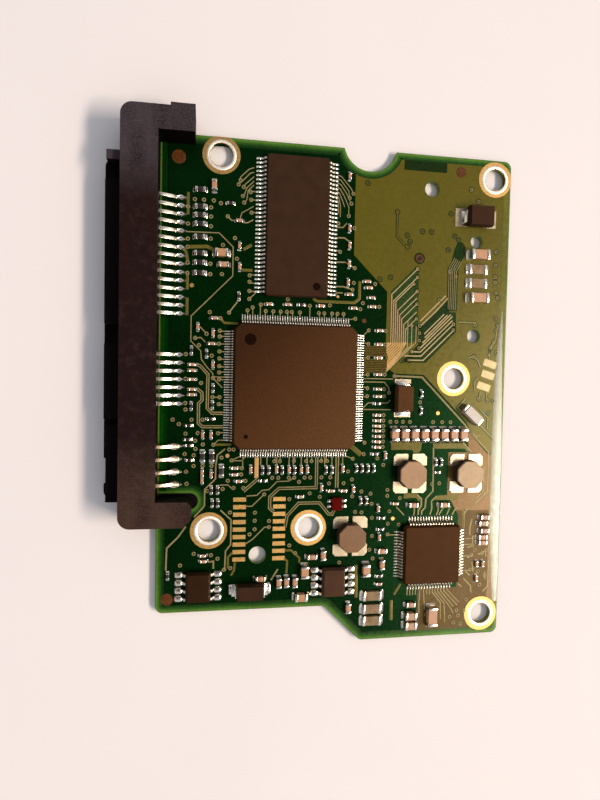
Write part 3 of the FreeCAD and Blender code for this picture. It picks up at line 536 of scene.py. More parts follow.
def top_outlines():
    """The outlines of the board's face, with the board on their left: the rim first, then the holes."""
    mesh = solid_mesh("circuit_board")
    follows = {}
    for face in mesh.faces:
        if face.normal.z < UPWARD:
            continue
        for corner in face.loops:
            if corner.link_loop_radial_next.face.normal.z < UPWARD:
                follows[corner.vert.index] = corner.link_loop_next.vert.index
    places = [place_of(vertex.co) for vertex in mesh.verts]
    mesh.free()
    outlines = []
    while follows:
        first = min(follows)
        chain = [first]
        here = follows.pop(first)
        while here != first:
            chain.append(here)
            here = follows.pop(here)
        outlines.append([places[index] for index in chain])
    outlines.sort(key=lambda outline: max(place.x for place in outline) - min(place.x for place in outline))
    return outlines[::-1]


def inside(place, outline):
    """Whether a place is inside an outline."""
    crossed = False
    for first, second in zip(outline, outline[1:] + outline[:1]):
        if (first.y > place.y) != (second.y > place.y):
            at = first.x + (second.x - first.x) * (place.y - first.y) / (second.y - first.y)
            crossed = crossed != (place.x < at)
    return crossed


RIM, *HOLES = top_outlines()


# Films: thin shapes of one material on the board's face

ROUND_SIDES = 20
TURNS = [math.tau * side / ROUND_SIDES for side in range(ROUND_SIDES)]
CIRCLE = [(math.cos(turn), math.sin(turn)) for turn in TURNS]
# Profiles from the outside inwards: share of the size, and share of the height
MOUND_STEPS = ((1.0, 0.0), (0.93, 0.45), (0.74, 0.85), (0.4, 1.0))
LEAF_STEPS = ((1.0, 0.0), (0.9, 0.8), (0.78, 1.0), (0.55, 0.8), (0.25, 0.7))
# How much a leaf narrows towards its point
LEAF_POINT = 0.5
# Share of a disc that is flat, share of a ring's width in each slope, and share of its height at the hole
DISC_FLAT = 0.93
RING_SLOPE = 0.25
RING_INNER = 0.3
# Across a fillet: share of its half width, and share of its height
FILLET_SIDES = ((-1.0, 0.05), (-0.8, 0.75), (-0.45, 1.0), (0.45, 1.0), (0.8, 0.75), (1.0, 0.05))
# How much less far out a fillet runs where it is low
FILLET_TAPER = 0.3
# Across a track: share of its width, and share of its height
TRACK_SIDES = ((0.5, 0.0), (0.34, 1.0), (-0.34, 1.0), (-0.5, 0.0))
FILMS = []


def rooted(value):
    """Square root that keeps the sign."""
    return math.copysign(math.sqrt(abs(value)), value)


class Film:
    """Thin shapes of one material, gathered into one piece."""

    def __init__(self, name, material, slot="green_laminate"):
        self.name = name
        self.material = material
        self.slot = slot
        self.mesh = bmesh.new()
        FILMS.append(self)

    def loft(self, rows, closed=False, start_cap=False, end_cap=False):
        """A skin over rows of points, each row as long as the others."""
        made = [[self.mesh.verts.new(point) for point in row] for row in rows]
        count = len(made[0])
        for near, far in zip(made, made[1:]):
            for index in range(count if closed else count - 1):
                after = (index + 1) % count
                self.mesh.faces.new((near[index], near[after], far[after], far[index]))
        if start_cap:
            self.mesh.faces.new(made[0][::-1])
        if end_cap:
            self.mesh.faces.new(made[-1])

    def track(self, line, width, top=TRACK_TOP):
        """A copper track under the mask: a low ridge with sloped sides."""
        line = corners(line)
        edges = [(offset_line(line, width * across), top * share) for across, share in TRACK_SIDES]
        rows = [[spot(*edge[index], level) for edge, level in edges] for index in range(len(line))]
        self.loft(rows, start_cap=True, end_cap=True)

    def rings(self, x, y, steps, cap=True, rim=CIRCLE):
        """Rings about a place, each a size and a level, from the outside inwards."""
        rows = []
        for size, level in steps:
            rows.append([spot(x + size * along, y - size * across, level) for along, across in rim])
        self.loft(rows, closed=True, end_cap=cap)

    def ring(self, x, y, outer, inner, top=PAD_TOP):
        """A low ring with sloped sides."""
        slope = RING_SLOPE * (outer - inner)
        steps = ((outer, 0.0), (outer - slope, top), (inner + slope, top), (inner, RING_INNER * top))
        self.rings(x, y, steps, cap=False)

    def disc(self, x, y, radius, top=PAD_TOP):
        """A low disc with a sloped rim."""
        self.rings(x, y, ((radius, 0.0), (DISC_FLAT * radius, top)))

    def mound(self, x, y, length, width, height):
        """A rounded mound on an oblong with soft corners, such as solder on a pad."""
        rim = [(rooted(along) * length / 2, rooted(across) * width / 2) for along, across in CIRCLE]
        self.rings(x, y, [(size, share * height) for size, share in MOUND_STEPS], rim=rim)

    def leaf(self, x, y, length, width, height):
        """Solder that is pooled round a tail, with a raised lip and drawn out to a point on its right."""
        rim = []
        for along, across in CIRCLE:
            narrow = 1 - LEAF_POINT * max(0.0, along)
            rim.append((along * length / 2, across * narrow * width / 2))
        self.rings(x, y, [(size, share * height) for size, share in LEAF_STEPS], rim=rim)

    def fillet(self, at, outward, width, profile):
        """Solder drawn up against an end: profile is distance out and height, in millimetres."""
        left = Vector((-outward.y, outward.x, 0.0))
        rows = []
        for side, share in FILLET_SIDES:
            foot = at + left * side * width * MM / 2
            way = outward * (1 - FILLET_TAPER * (1 - share))
            up = Vector((0.0, 0.0, share))
            rows.append([foot + (way * out + up * high) * MM for out, high in profile])
        self.loft(rows)

    def sheet(self, outlines, top):
        """A flat sheet from the board's face up to top; an outline inside another is a hole."""
        curve = bpy.data.curves.new(self.name, "CURVE")
        curve.dimensions = "2D"
        curve.fill_mode = "BOTH"
        curve.extrude = top / 2
        for outline in outlines:
            line = curve.splines.new("POLY")
            line.points.add(len(outline) - 1)
            for point, place in zip(line.points, outline):
                point.co = (place.x, -place.y, 0.0, 1.0)
            line.use_cyclic_u = True
        carrier = bpy.data.objects.new(self.name, curve)
        data = bpy.data.meshes.new_from_object(carrier)
        data.transform(Matrix.Translation(spot(0, 0, top / 2)) @ Matrix.Scale(MM, 4))
        self.mesh.from_mesh(data)
        bpy.data.objects.remove(carrier)
        bpy.data.curves.remove(curve)
        bpy.data.meshes.remove(data)

    def done(self):
        """The film as a piece of the part."""
        data = bpy.data.meshes.new(self.name)
        bmesh.ops.recalc_face_normals(self.mesh, faces=self.mesh.faces)
        self.mesh.to_mesh(data)
        self.mesh.free()
        piece(self.name, data, self.material)


# Stage: a pale floor, a soft room, a warm strip light from the right and lights for the gloss

# The floor's drop is in millimetres, other lengths are in metres, and angles are in degrees
FLOOR_DROP = 0.05
FLOOR_HALF = 3.0
FLOOR_TONE = (0.92, 0.88, 0.86)
ROOM_TONE = (0.90, 0.914, 1.0)
ROOM_PEAK = 0.72
ROOM_SIDE = 0.15
HORIZON = 0.6
HORIZON_TOP = 0.3
KEY_TONE = (1.0, 0.824, 0.686)
KEY_WATTS = 19.2
KEY_DISTANCE = 1.5
KEY_ELEVATION = 45.0
KEY_TURN = 12.0
KEY_WIDTH = 0.19
KEY_LENGTH = 0.72
GLOSS_TONE = (1.0, 0.93, 0.85)
GLOSS_LIGHTS = [
    # name, place, width and length in metres, watts
    ("edge_gloss", (0.264, -0.085, 0.407), 0.035, 0.33, 1.2),
    ("right_gloss", (0.78, -0.24, 0.74), 0.36, 0.60, 0.6),
    ("left_gloss", (-0.66, 0.10, 0.62), 0.30, 0.60, 0.3),
]


def floor():
    """A pale floor just under the part."""
    material = finish("floor", scaled(FLOOR_TONE, 0.985, 1.0, 1.01), 40.0, (0.8, 0.9))
    level = CAD_LOW.z - FLOOR_DROP * MM
    signs = ((-1, -1), (1, -1), (1, 1), (-1, 1))
    data = bpy.data.meshes.new("floor")
    data.from_pydata([(x * FLOOR_HALF, y * FLOOR_HALF, level) for x, y in signs], [], [(0, 1, 2, 3)])
    data.materials.append(material)
    made = bpy.data.objects.new("floor", data)
    bpy.context.scene.collection.objects.link(made)


def room():
    """Light from all round, strongest half way up and stronger on the right, and a pale horizon."""
    world = bpy.data.worlds.new("room")
    bpy.context.scene.world = world
    world.use_nodes = True
    tree = world.node_tree
    background = tree.nodes["Background"]
    background.inputs["Color"].default_value = (*ROOM_TONE, 1.0)
    where = add_node(tree, "TexCoord", "Generated")
    rightward = add_node(tree, "SeparateXYZ", "X", Vector=where)
    upward = add_node(tree, "SeparateXYZ", "Z", Vector=where)
    square = product(tree, upward, upward)
    rest = add_node(tree, "Math", "Value", 1.0, square, operation="SUBTRACT")
    # The square times the rest is a quarter at most, so it is taken four times
    peaks = {"To_Min": 4 * ROOM_PEAK * (1 - ROOM_SIDE), "To_Max": 4 * ROOM_PEAK * (1 + ROOM_SIDE)}
    side = add_node(tree, "MapRange", "Result", Value=rightward, From_Min=-1.0, **peaks)
    band = product(tree, product(tree, square, rest), side)
    glow = {"From_Max": HORIZON_TOP, "To_Min": HORIZON, "To_Max": 0.0}
    low = add_node(tree, "MapRange", "Result", Value=upward, **glow)
    total = add_node(tree, "Math", "Value", band, low, operation="ADD")
    feed(tree, total, background.inputs["Strength"])


def lamp(name, place, width, length, watts, tone):
    """A soft oblong light that faces the part, its length along the part's own."""
    light = bpy.data.lights.new(name, "AREA")
    light.shape = "RECTANGLE"
    light.size = length
    light.size_y = width
    light.energy = watts
    light.color = tone
    made = bpy.data.objects.new(name, light)
    bpy.context.scene.collection.objects.link(made)
    made.location = place
    made.rotation_mode = "QUATERNION"
    made.rotation_quaternion = (-Vector(place)).to_track_quat("-Z", "Y")
    return made


def lights():
    """The strip light, and the lights that only gloss shows."""
    up, turn = math.radians(KEY_ELEVATION), math.radians(KEY_TURN)
    way = Vector((math.cos(up) * math.cos(turn), -math.cos(up) * math.sin(turn), math.sin(up)))
    lamp("strip_light", way * KEY_DISTANCE, KEY_WIDTH, KEY_LENGTH, KEY_WATTS, KEY_TONE)
    for name, place, width, length, watts in GLOSS_LIGHTS:
        lamp(name, place, width, length, watts, GLOSS_TONE).visible_diffuse = False


# Camera: where it stands over the board, and its turns about its own axes

# Its place is in millimetres and its turns are in radians
CAMERA_PLACE = (6.965, 37.081, 92.374)
CAMERA_TURNS = (0.041728, -0.165943, 0.019863)
FOCAL_PIXELS = 580.0
LONG_SIDE_PIXELS = 800.0
SENSOR = 36.0


def camera():
    """The photograph's point of view."""
    data = bpy.data.cameras.new("camera")
    data.sensor_width = SENSOR
    data.lens = SENSOR * FOCAL_PIXELS / LONG_SIDE_PIXELS
    data.clip_start = 0.005
    data.clip_end = 20.0
    turn = Matrix.Identity(3)
    for angle, axis in zip(CAMERA_TURNS, "XYZ"):
        turn = turn @ Matrix.Rotation(angle, 3, axis)
    flip = Matrix.Diagonal((1.0, -1.0, -1.0))
    made = bpy.data.objects.new("camera", data)
    bpy.context.scene.collection.objects.link(made)
    made.matrix_world = Matrix.Translation(spot(*CAMERA_PLACE)) @ (flip @ turn @ flip).transposed().to_4x4()
    bpy.context.scene.camera = made


bpy.context.scene.view_settings.view_transform = "Standard"
floor()
room()
lights()
camera()

# Dressed nodes: material, edge rounding in millimetres, and its steps if they aren't two

dress("circuit_board", LAMINATE, 0.06)
dress("screw_hole_rings", GOLD, 0.02, 1)
dress("head_contact_pads", GOLD, 0.02, 1)
dress("motor_contact_pads", WORN_GOLD, 0.02, 1)
dress("connector_housing", HOUSING, 0.14, 3)
dress("connector_shroud", HOUSING, 0.10, 3)
dress("power_contacts", CONTACT, 0.05)
dress("signal_contacts", CONTACT, 0.05)
dress("jumper_pins", PIN, 0.06)
for chip in ("controller", "memory", "motor_driver", "left_chip", "middle_chip"):
    dress(chip + "_body", CHIPS[chip], 0.05)
    dress(chip + "_leads", WARM_LEAD if chip == "motor_driver" else LEAD, 0.02, 1)
for number, tone in FERRITE_TONES.items():
    dress(f"inductor_{number}_core", ferrite(f"ferrite_{number}", tone), 0.14, 3)
    dress(f"inductor_{number}_winding", WINDING, 0.05)
    dress(f"inductor_{number}_terminals", TERMINAL, 0.05)
for diode in ("upper_diode", "middle_diode", "lower_diode"):
    dress(diode + "_body", CHIPS[diode], 0.10, 3)
    dress(diode + "_terminals", TIN, 0.05)
dress("shock_sensor_body", WHITE, 0.06)
dress("shock_sensor_ends", TIN, 0.06)
dress("red_part_body", RED, 0.08)
dress("red_part_pads", TIN, 0.04)
for group in ("row_capacitor", "large_capacitor", "small_capacitor", "tiny_capacitor"):
    dress(group + "_bodies", TAN, 0.04)
    dress(group + "_ends", TIN, 0.06)
for group, glaze in (("large_resistor", BROWN_GLAZE), ("small_resistor", GLAZE)):
    dress(group + "_bodies", glaze, 0.03)
    dress(group + "_ends", TIN, 0.05)

# What was read off the board: places of vias, tracks and pads

VIAS = [
    # round the power contacts and the upper left corner
    *((7.9, y) for y in (10.9, 12.3, 13.8, 15.7, 19.6, 21.2)),
    *((4.4, y) for y in (11.0, 13.6, 15.9, 17.15, 19.6, 21.2)),
    *((x, 9.8) for x in (5.4, 6.8, 8.3, 13.0)),
    (9.8, 16.6), (9.7, 21.1), (11.65, 15.4), (12.0, 18.6), (12.1, 7.05), (12.9, 7.4), (12.8, 8.8),
    (14.0, 8.1), (14.1, 9.3), (14.2, 11.3), (12.4, 6.4), (9.4, 10.15), (10.5, 12.1), (13.8, 26.6),
    *((14.05, y) for y in (21.1, 22.1, 23.55, 24.8)), (14.6, 26.1),
    # right of the memory chip
    (30.6, 7.2), (30.0, 7.9), (30.3, 8.8), (29.9, 10.8), (30.9, 12.7), (28.2, 12.1), (28.6, 16.6),
    (31.1, 19.1), (31.0, 21.5), (30.8, 22.6), (34.6, 21.5), (35.4, 25.2), (32.2, 25.7), (32.6, 24.7),
    (35.4, 20.7), (37.2, 20.3),
    # between the memory chip and the controller
    (15.9, 25.6), (20.2, 24.6), (23.8, 25.5), (27.1, 25.3),
    *((x, 26.6) for x in (16.7, 17.9, 19.1, 20.1, 20.9, 22.2, 25.3, 26.2, 27.5, 28.4, 29.4)),
    # upper right
    (33.0, 5.3), (38.1, 9.6), (39.9, 13.3), (40.4, 14.3), (40.0, 15.2), (42.5, 12.5), (44.1, 12.5),
    (47.4, 9.3), (50.9, 5.1), (45.8, 23.7), (52.3, 7.0), (41.2, 21.2), (41.85, 22.4), (41.1, 28.1),
    *((41.85, y) for y in (18.7, 20.1, 24.5, 26.9)), *((42.45, y) for y in (28.1, 29.3, 30.5, 31.8)),
    (41.2, 32.4), (39.5, 33.9), (40.7, 33.8), (48.2, 13.0), (48.9, 13.6), (47.1, 15.3), (48.6, 19.6),
    (47.5, 18.9), *((55.7, y) for y in (15.2, 17.4, 19.4, 20.3)), (55.9, 22.1), (56.2, 22.9),
    (56.0, 26.4), (56.1, 28.4), (55.8, 30.4), (52.3, 27.6), (48.4, 27.6), (48.4, 28.6), (52.2, 33.0),
    (53.4, 40.1), (54.9, 40.3), (56.0, 40.4), (56.4, 27.5), (56.3, 32.2), (55.25, 31.4), (55.15, 42.5),
    # round the signal contacts
    (7.9, 27.1), (9.6, 28.0), (10.9, 27.05), (7.45, 30.5), (5.7, 31.2), (9.4, 32.0), (6.3, 32.3),
    (8.3, 33.9), (4.3, 33.75), (4.3, 37.6), (6.7, 38.2), (8.55, 37.4), (8.5, 40.4), (9.6, 40.4),
    *((9.5, y) for y in (29.95, 30.85, 33.2, 34.3, 35.5, 36.5, 37.6, 41.5)), (4.3, 41.4), (4.35, 42.4),
    # round the jumper pins
    (2.4, 44.0), (5.3, 44.0), (3.35, 44.7), (4.4, 46.2), (6.3, 46.1), (5.9, 47.3), (5.95, 48.6),
    (4.3, 49.4), (5.7, 49.6), (5.7, 51.3), (4.55, 52.2), (4.65, 54.1), (7.1, 47.9), (7.1, 51.3),
    (8.5, 51.3), (8.75, 47.95), (7.0, 44.0), (9.45, 46.1), (10.05, 50.0), (11.25, 48.7), (11.95, 48.7),
    (11.65, 50.45), (13.3, 51.7), (13.2, 52.7), (13.9, 53.75), (11.1, 53.7), (10.3, 55.0), (12.0, 54.85),
    (13.6, 54.9), (11.5, 58.8), (7.9, 55.3),
    # under the controller
    *((x, 50.6) for x in (18.5, 19.4, 21.7, 23.7, 24.6, 26.2, 27.2)),
    *((x, 53.3) for x in (18.2, 19.2, 20.9, 21.8, 23.5, 24.45, 26.3, 27.8)),
    (22.6, 54.0), (27.6, 54.3), (24.4, 55.9), (21.05, 56.8), (16.95, 55.95), (26.1, 56.5), (29.6, 67.5),
    *((15.5, y) for y in (58.9, 60.2, 61.6)), (14.7, 62.4), (17.8, 60.3), (17.8, 61.3), (21.2, 64.4),
    (22.2, 65.7),
    # right of the controller
    *((33.7, y) for y in (29.1, 31.3, 33.55, 36.35, 38.6, 39.9)),
    *((36.6, y) for y in (29.1, 31.35, 36.3, 38.7, 39.9, 43.0, 43.9, 44.8, 45.6, 46.5, 47.4, 48.3)),
    (31.4, 27.3), (37.45, 39.3), (38.3, 36.5), (33.45, 47.6), (33.35, 49.5), (31.5, 50.25), (35.7, 50.2),
    (36.75, 51.3), (30.75, 52.35), (30.05, 54.3), (31.45, 53.7), (31.55, 56.5), (33.1, 55.7), (34.7, 56.1),
    (34.9, 57.8), (37.6, 55.5), (37.6, 56.5), (38.0, 59.1), (37.8, 61.2), (37.8, 63.0), (39.7, 61.4),
    (39.8, 56.9), (35.0, 60.15), (35.1, 63.2), (34.7, 65.5), (35.3, 67.0), (32.1, 59.1), (33.2, 59.2),
    *((x, 44.1) for x in (37.8, 38.85, 40.0, 41.2, 45.3, 46.9, 48.4)),
    (42.9, 40.8), (45.4, 54.6), (46.7, 54.5),
    # right and below the motor driver
    (50.5, 76.5), (50.8, 77.4), (51.3, 78.9), (53.2, 63.9), (53.0, 65.3), (52.9, 67.0), (53.5, 66.1),
    (54.9, 66.7), (55.6, 66.2), (52.8, 69.5), (54.2, 69.9), (55.4, 70.6), (54.6, 72.2), (52.2, 74.7),
    (51.9, 76.6), (49.3, 77.6), (50.0, 78.6), (45.0, 77.0), (51.5, 59.2),
    # lower left corner
    (5.9, 65.3), (8.6, 65.6), (9.65, 66.2), (10.7, 68.0), (3.8, 67.1), (11.7, 67.8),
]
# A ring of bare copper round a test hole, in a gap in the pour
TEST_RING = (42.1, 16.95)
TEST_CLEARANCE = 1.0
TEST_RADIUS = 0.75
TEST_HOLE = 0.35
TEST_FLOOR = 0.36
# Round targets and test dots: middle and radius
TARGETS = [(2.9, 3.5, 1.1), (49.0, 2.4, 0.9), (1.8, 72.5, 1.0), (32.9, 27.6, 0.4)]
GOLD_DOTS = [
    (5.1, 23.05, 0.35), (11.0, 49.7, 0.35), (38.65, 60.35, 0.35), (46.1, 42.6, 0.35), (28.4, 23.85, 0.25),
]
# Floors of the dimples in the chips' tops, dark as painted shade: middle, radius and height over the board
DIMPLE_FOOT = 0.02
DIMPLE_TOP = 0.015
DIMPLE_SLOPE = 0.97
DIMPLE_PLACES = [(14.23, 31.22, 0.92, 1.44), (13.73, 46.52, 0.34, 1.44), (24.63, 22.53, 0.62, 1.04)]

# A wide bright track below the controller
WARM_TRACK = [(15.65, 50.0), (15.65, 53.3)]
WARM_WIDTH = 0.7
# Tracks of one width: the width, and each track's corners
TRACKS = [
    # left of the memory chip
    (0.18, [
        [(14.5, 4.3), (13.7, 4.6), (12.4, 5.9), (12.3, 6.4)],
        [(14.5, 5.0), (13.9, 5.2), (12.7, 6.5), (12.1, 7.0)], [(14.5, 5.7), (13.1, 7.0), (12.9, 7.4)],
        [(14.5, 6.4), (13.4, 7.5), (13.1, 8.4), (12.8, 8.8)],
        [(14.5, 7.0), (13.6, 7.9), (13.4, 9.4), (13.0, 9.8)],
        [(14.5, 10.3), (13.4, 11.0), (12.7, 11.4), (12.4, 12.4)],
    ]),
    (0.22, [[(14.5, 12.4), (13.6, 12.9), (12.9, 12.9)], [(10.5, 12.1), (11.1, 12.7), (12.0, 12.6)]]),
    # right of the memory chip
    (0.18, [
        [(27.8, 4.4), (28.6, 4.6), (30.2, 6.4), (30.6, 7.2)],
        [(27.8, 5.0), (28.5, 5.2), (29.8, 6.8), (30.0, 7.9)],
        [(27.8, 5.6), (28.5, 5.9), (29.5, 7.3), (30.2, 8.7)],
        [(27.8, 6.3), (28.4, 6.6), (29.1, 7.7), (29.9, 9.4), (29.9, 10.6)],
        [(27.8, 6.9), (28.3, 7.3), (28.8, 8.4), (29.2, 9.4)],
        [(27.8, 7.6), (28.2, 8.0), (28.5, 9.3), (28.5, 11.1)], [(27.8, 8.2), (28.1, 8.6), (28.2, 10.5)],
    ]),
    (0.22, [[(27.8, 12.7), (29.0, 12.7), (29.6, 12.0)], [(27.8, 23.5), (28.3, 23.2), (29.2, 23.2)]]),
    # round the motor driver
    (0.3, [
        [(42.8, 56.4), (43.6, 57.1), (43.6, 58.3), (43.1, 59.0), (43.1, 59.8)],
        [(45.5, 48.4), (45.6, 55.8), (44.4, 57.1), (44.3, 58.6), (43.7, 59.2), (43.7, 59.8)],
        [(46.3, 56.7), (45.4, 57.5), (45.5, 58.7), (45.2, 59.8)],
        [(50.0, 58.6), (49.5, 59.3), (49.2, 59.9)], [(54.7, 51.8), (54.7, 56.0), (53.3, 57.3)],
        [(50.8, 47.6), (52.4, 49.2)], [(53.6, 41.8), (55.2, 43.4), (55.1, 45.2)],
        [(50.9, 40.2), (49.6, 41.6), (50.4, 42.6)], [(52.0, 45.6), (53.2, 46.6), (53.9, 46.2)],
        [(52.47, 63.5), (52.5, 62.1), (52.8, 60.7)], [(56.1, 68.0), (56.1, 72.4), (55.2, 73.4)],
    ]),
    (0.25, [
        [(42.4, 58.2), (42.4, 59.3), (42.3, 59.9)], [(46.7, 58.4), (46.6, 59.3), (46.3, 59.9)],
        [(47.8, 58.4), (47.2, 59.2), (46.8, 59.9)], [(48.9, 58.4), (48.5, 59.2), (48.2, 59.9)],
        [(39.2, 58.4), (40.6, 59.8)], [(52.1, 65.6), (52.7, 65.5), (53.1, 64.8), (53.1, 63.6)],
        [(52.1, 67.4), (52.4, 67.3), (53.2, 66.9)], [(53.06, 68.1), (53.3, 69.8)],
        [(54.2, 66.9), (55.5, 66.3), (55.6, 67.4)], [(55.45, 69.9), (55.6, 71.3)],
        [(51.8, 69.6), (52.7, 70.5)], [(51.6, 71.0), (52.9, 72.3), (53.06, 73.5)],
        [(50.56, 71.8), (51.3, 72.4)],
    ]),
    (0.35, [[(53.8, 44.6), (56.3, 47.0)]]),
    (0.33, [[(51.35, 62.2), (51.35, 59.9), (51.9, 58.9)]]),
    (0.22, [
        [(55.8, 30.4), (55.2, 31.2), (55.1, 33.3)], [(53.0, 36.5), (52.4, 37.3), (52.6, 38.6)],
        [(53.6, 38.9), (53.4, 40.1)], [(54.6, 38.9), (54.9, 40.3)],
    ]),
    # below the motor driver
    (0.22, [
        *([(x, 72.3), (x, 73.5)] for x in (41.5, 42.0, 42.5, 43.0, 45.0, 45.5)),
        [(43.8, 72.3), (43.65, 74.9), (43.7, 76.7)], [(44.4, 72.3), (44.5, 73.7), (44.7, 76.1)],
    ]),
    (0.2, [
        [(46.0, 72.3), (46.0, 73.2), (47.5, 75.0), (47.6, 77.9)],
        [(46.5, 72.3), (46.5, 73.2), (48.2, 75.2), (48.4, 78.5)],
        [(47.0, 72.3), (47.0, 73.1), (49.4, 76.0), (49.9, 77.0)],
        [(47.5, 72.3), (47.5, 73.0), (49.9, 75.8)], [(48.0, 72.3), (48.1, 73.0), (50.6, 75.6)],
        [(48.5, 72.3), (48.8, 73.0), (50.9, 75.1)],
    ]),
    # the rest
    (0.19, [
        [(3.6, 14.85), (9.2, 14.75), (11.4, 16.8), (11.4, 21.3), (5.05, 27.8), (5.05, 31.7),
         (6.6, 33.2), (6.7, 34.5), (7.5, 35.6), (8.5, 36.7), (8.55, 37.4), (10.0, 38.9)],
    ]),
    (0.6, [
        [(4.5, 17.15), (7.4, 16.95), (8.3, 17.4)], [(32.5, 68.0), (32.6, 73.5)],
        [(38.75, 74.2), (38.8, 77.6)],
    ]),
    (0.5, [
        [(3.5, 17.2), (4.2, 18.0), (4.4, 19.3)], [(39.2, 73.3), (40.3, 71.5)],
        [(24.3, 24.3), (25.0, 24.7), (31.2, 24.7), (32.0, 24.0), (32.0, 21.2)],
        [(13.0, 17.1), (14.3, 16.3)], [(12.8, 20.3), (14.5, 20.3)],
    ]),
    (0.45, [[(4.4, 8.8), (4.4, 12.2)], [(4.4, 21.2), (4.4, 23.7)], [(4.4, 25.0), (4.4, 27.7)]]),
    (0.4, [
        [(9.6, 28.0), (10.2, 28.7), (12.4, 28.75)], [(9.0, 47.95), (11.6, 47.9)],
        [(12.0, 65.3), (11.3, 66.0), (11.3, 67.8)], [(12.4, 66.9), (12.3, 68.2), (11.8, 69.0)],
        [(20.4, 66.45), (20.9, 67.0), (20.8, 69.0)],
        [(20.5, 65.2), (21.5, 65.2), (22.9, 66.5), (22.9, 67.3)], [(51.15, 59.1), (51.2, 62.0)],
    ]),
    (0.25, [
        [(10.9, 27.05), (12.2, 25.3)],
        [(10.6, 48.6), (9.4, 49.6), (9.2, 51.0), (9.15, 53.4), (7.5, 55.0), (7.45, 57.7), (5.9, 59.4)],
        [(28.7, 49.9), (28.7, 55.0)], [(29.1, 49.9), (29.1, 55.0)],
        [(10.0, 58.4), (11.7, 60.0), (11.7, 64.0), (10.9, 65.0), (10.8, 68.0)],
        [(27.8, 14.4), (29.3, 14.35), (30.2, 15.0)], [(27.8, 18.3), (29.5, 18.25), (31.1, 19.1)],
        [(27.8, 22.2), (29.3, 22.2), (30.8, 22.6)], [(38.1, 9.6), (38.1, 13.6), (40.0, 15.3)],
        [(49.3, 27.2), (52.4, 27.2)],
    ]),
    (0.2, [
        [(6.4, 29.4), (7.3, 30.3)], [(5.7, 31.2), (6.6, 31.1), (7.3, 31.8)],
        [(12.0, 50.5), (13.4, 50.5), (13.7, 49.9)], [(9.8, 54.4), (11.1, 54.35), (11.7, 54.9)],
        [(14.1, 56.2), (15.8, 56.1), (16.6, 55.3),
         (17.7, 55.2), (19.0, 53.9), (20.9, 53.85), (21.8, 53.3)],
        [(14.1, 57.85), (15.0, 57.85), (16.9, 56.0)],
        [(17.8, 61.3), (17.1, 61.3), (15.2, 63.2), (14.0, 64.0)], [(33.0, 37.0), (38.1, 37.0)],
        [(33.0, 37.55), (36.6, 37.55), (37.4, 38.5), (37.45, 39.3)],
        [(33.0, 41.9), (33.9, 41.0), (34.6, 41.0)], [(36.0, 41.0), (37.2, 41.0), (37.7, 40.5)],
        [(33.0, 42.1), (37.8, 42.1)],
        *([(x, 49.9), (x, 51.2)] for x in (16.3, 17.3, 18.9, 20.9, 21.6, 22.9, 23.9, 26.8, 28.0, 29.8)),
    ]),
    (0.3, [
        [(4.6, 60.9), (3.5, 62.5), (1.7, 64.3), (1.6, 67.8)], [(8.2, 66.7), (9.0, 66.6), (9.0, 67.8)],
        [(18.3, 70.0), (19.4, 68.2)], [(56.4, 27.6), (56.1, 30.0), (55.3, 31.4), (54.9, 32.8)],
        [(51.3, 33.2), (52.2, 32.8), (53.0, 33.6), (53.5, 34.7)],
    ]),
    (0.35, [
        [(38.3, 36.5), (43.1, 36.6), (51.0, 44.5),
         (51.9, 45.6), (55.5, 49.2), (55.5, 56.0), (53.3, 58.0)],
    ]),
    (0.9, [[(31.2, 48.2), (32.9, 49.6)]]),
]
# Tracks side by side: their width, how many, how far to the side each next one is, the first one's corners
TRACK_SETS = [
    (0.2, 2, 0.32, [(6.0, 35.5), (6.5, 35.7), (7.6, 36.9), (7.55, 42.2), (8.4, 43.1), (10.2, 43.1)]),
    (0.2, 2, 0.32, [
        (6.0, 39.3), (6.7, 39.8), (6.75, 40.8), (6.2, 41.4), (6.2, 44.6), (6.9, 45.25), (10.2, 45.25),
    ]),
    (0.2, 2, 0.34, [(25.3, 50.0), (25.3, 54.8), (19.3, 54.85), (17.7, 56.3), (17.7, 58.3), (18.4, 58.9)]),
    (0.2, 2, 0.34, [(15.9, 53.2), (13.5, 55.3)]),
    (0.2, 2, 0.34, [
        (20.6, 61.4), (20.9, 59.6), (22.7, 57.65), (26.0, 57.65), (27.5, 59.5), (28.3, 59.6), (28.7, 58.8),
    ]),
    (0.16, 5, -0.33, [(47.35, 25.2), (47.35, 18.4), (48.3, 16.6)]),
]
# Tracks that slant up to the right, from their lower to their upper ends
SLANTED_TRACKS = [
    [(42.5, 27.3), (44.9, 24.9), (46.9, 22.9)],
    [(42.7, 28.0), (45.2, 25.6), (47.4, 23.2)],
    [(43.3, 29.4), (46.7, 26.0)],
    [(43.4, 30.0), (47.3, 26.1)],
    [(43.0, 30.9), (47.9, 26.0)],
    [(42.6, 31.8), (48.2, 26.3)],
    [(41.2, 32.4), (42.7, 32.4), (48.2, 27.0)],
    [(39.9, 33.1), (42.8, 33.1), (48.3, 27.7)],
    [(40.7, 33.8), (43.2, 33.8), (48.4, 28.7)],
]
# The dense bus between the controller and the upper right: its uprights turn into level runs
BUS_LEVELS = [31.75 + 0.29 * step for step in range(6)] + [33.9 + 0.286 * step for step in range(8)]
BUS_LEFT = 33.0
BUS_TURN = 36.8
BUS_FIRST = 37.5
BUS_STEP = 0.36
BUS_FOOT = 31.2
BUS_ENDS = [
    (41.85, 18.7), (41.85, 20.1), (41.2, 21.2), (41.85, 22.4), (41.85, 23.5), (41.85, 24.5), (41.85, 25.8),
    (41.85, 26.9),
]
BUS_BENDS = [
    (BUS_FIRST + BUS_STEP * step, end_y + end_x - BUS_FIRST - BUS_STEP * step)
    for step, (end_x, end_y) in enumerate(BUS_ENDS)
]
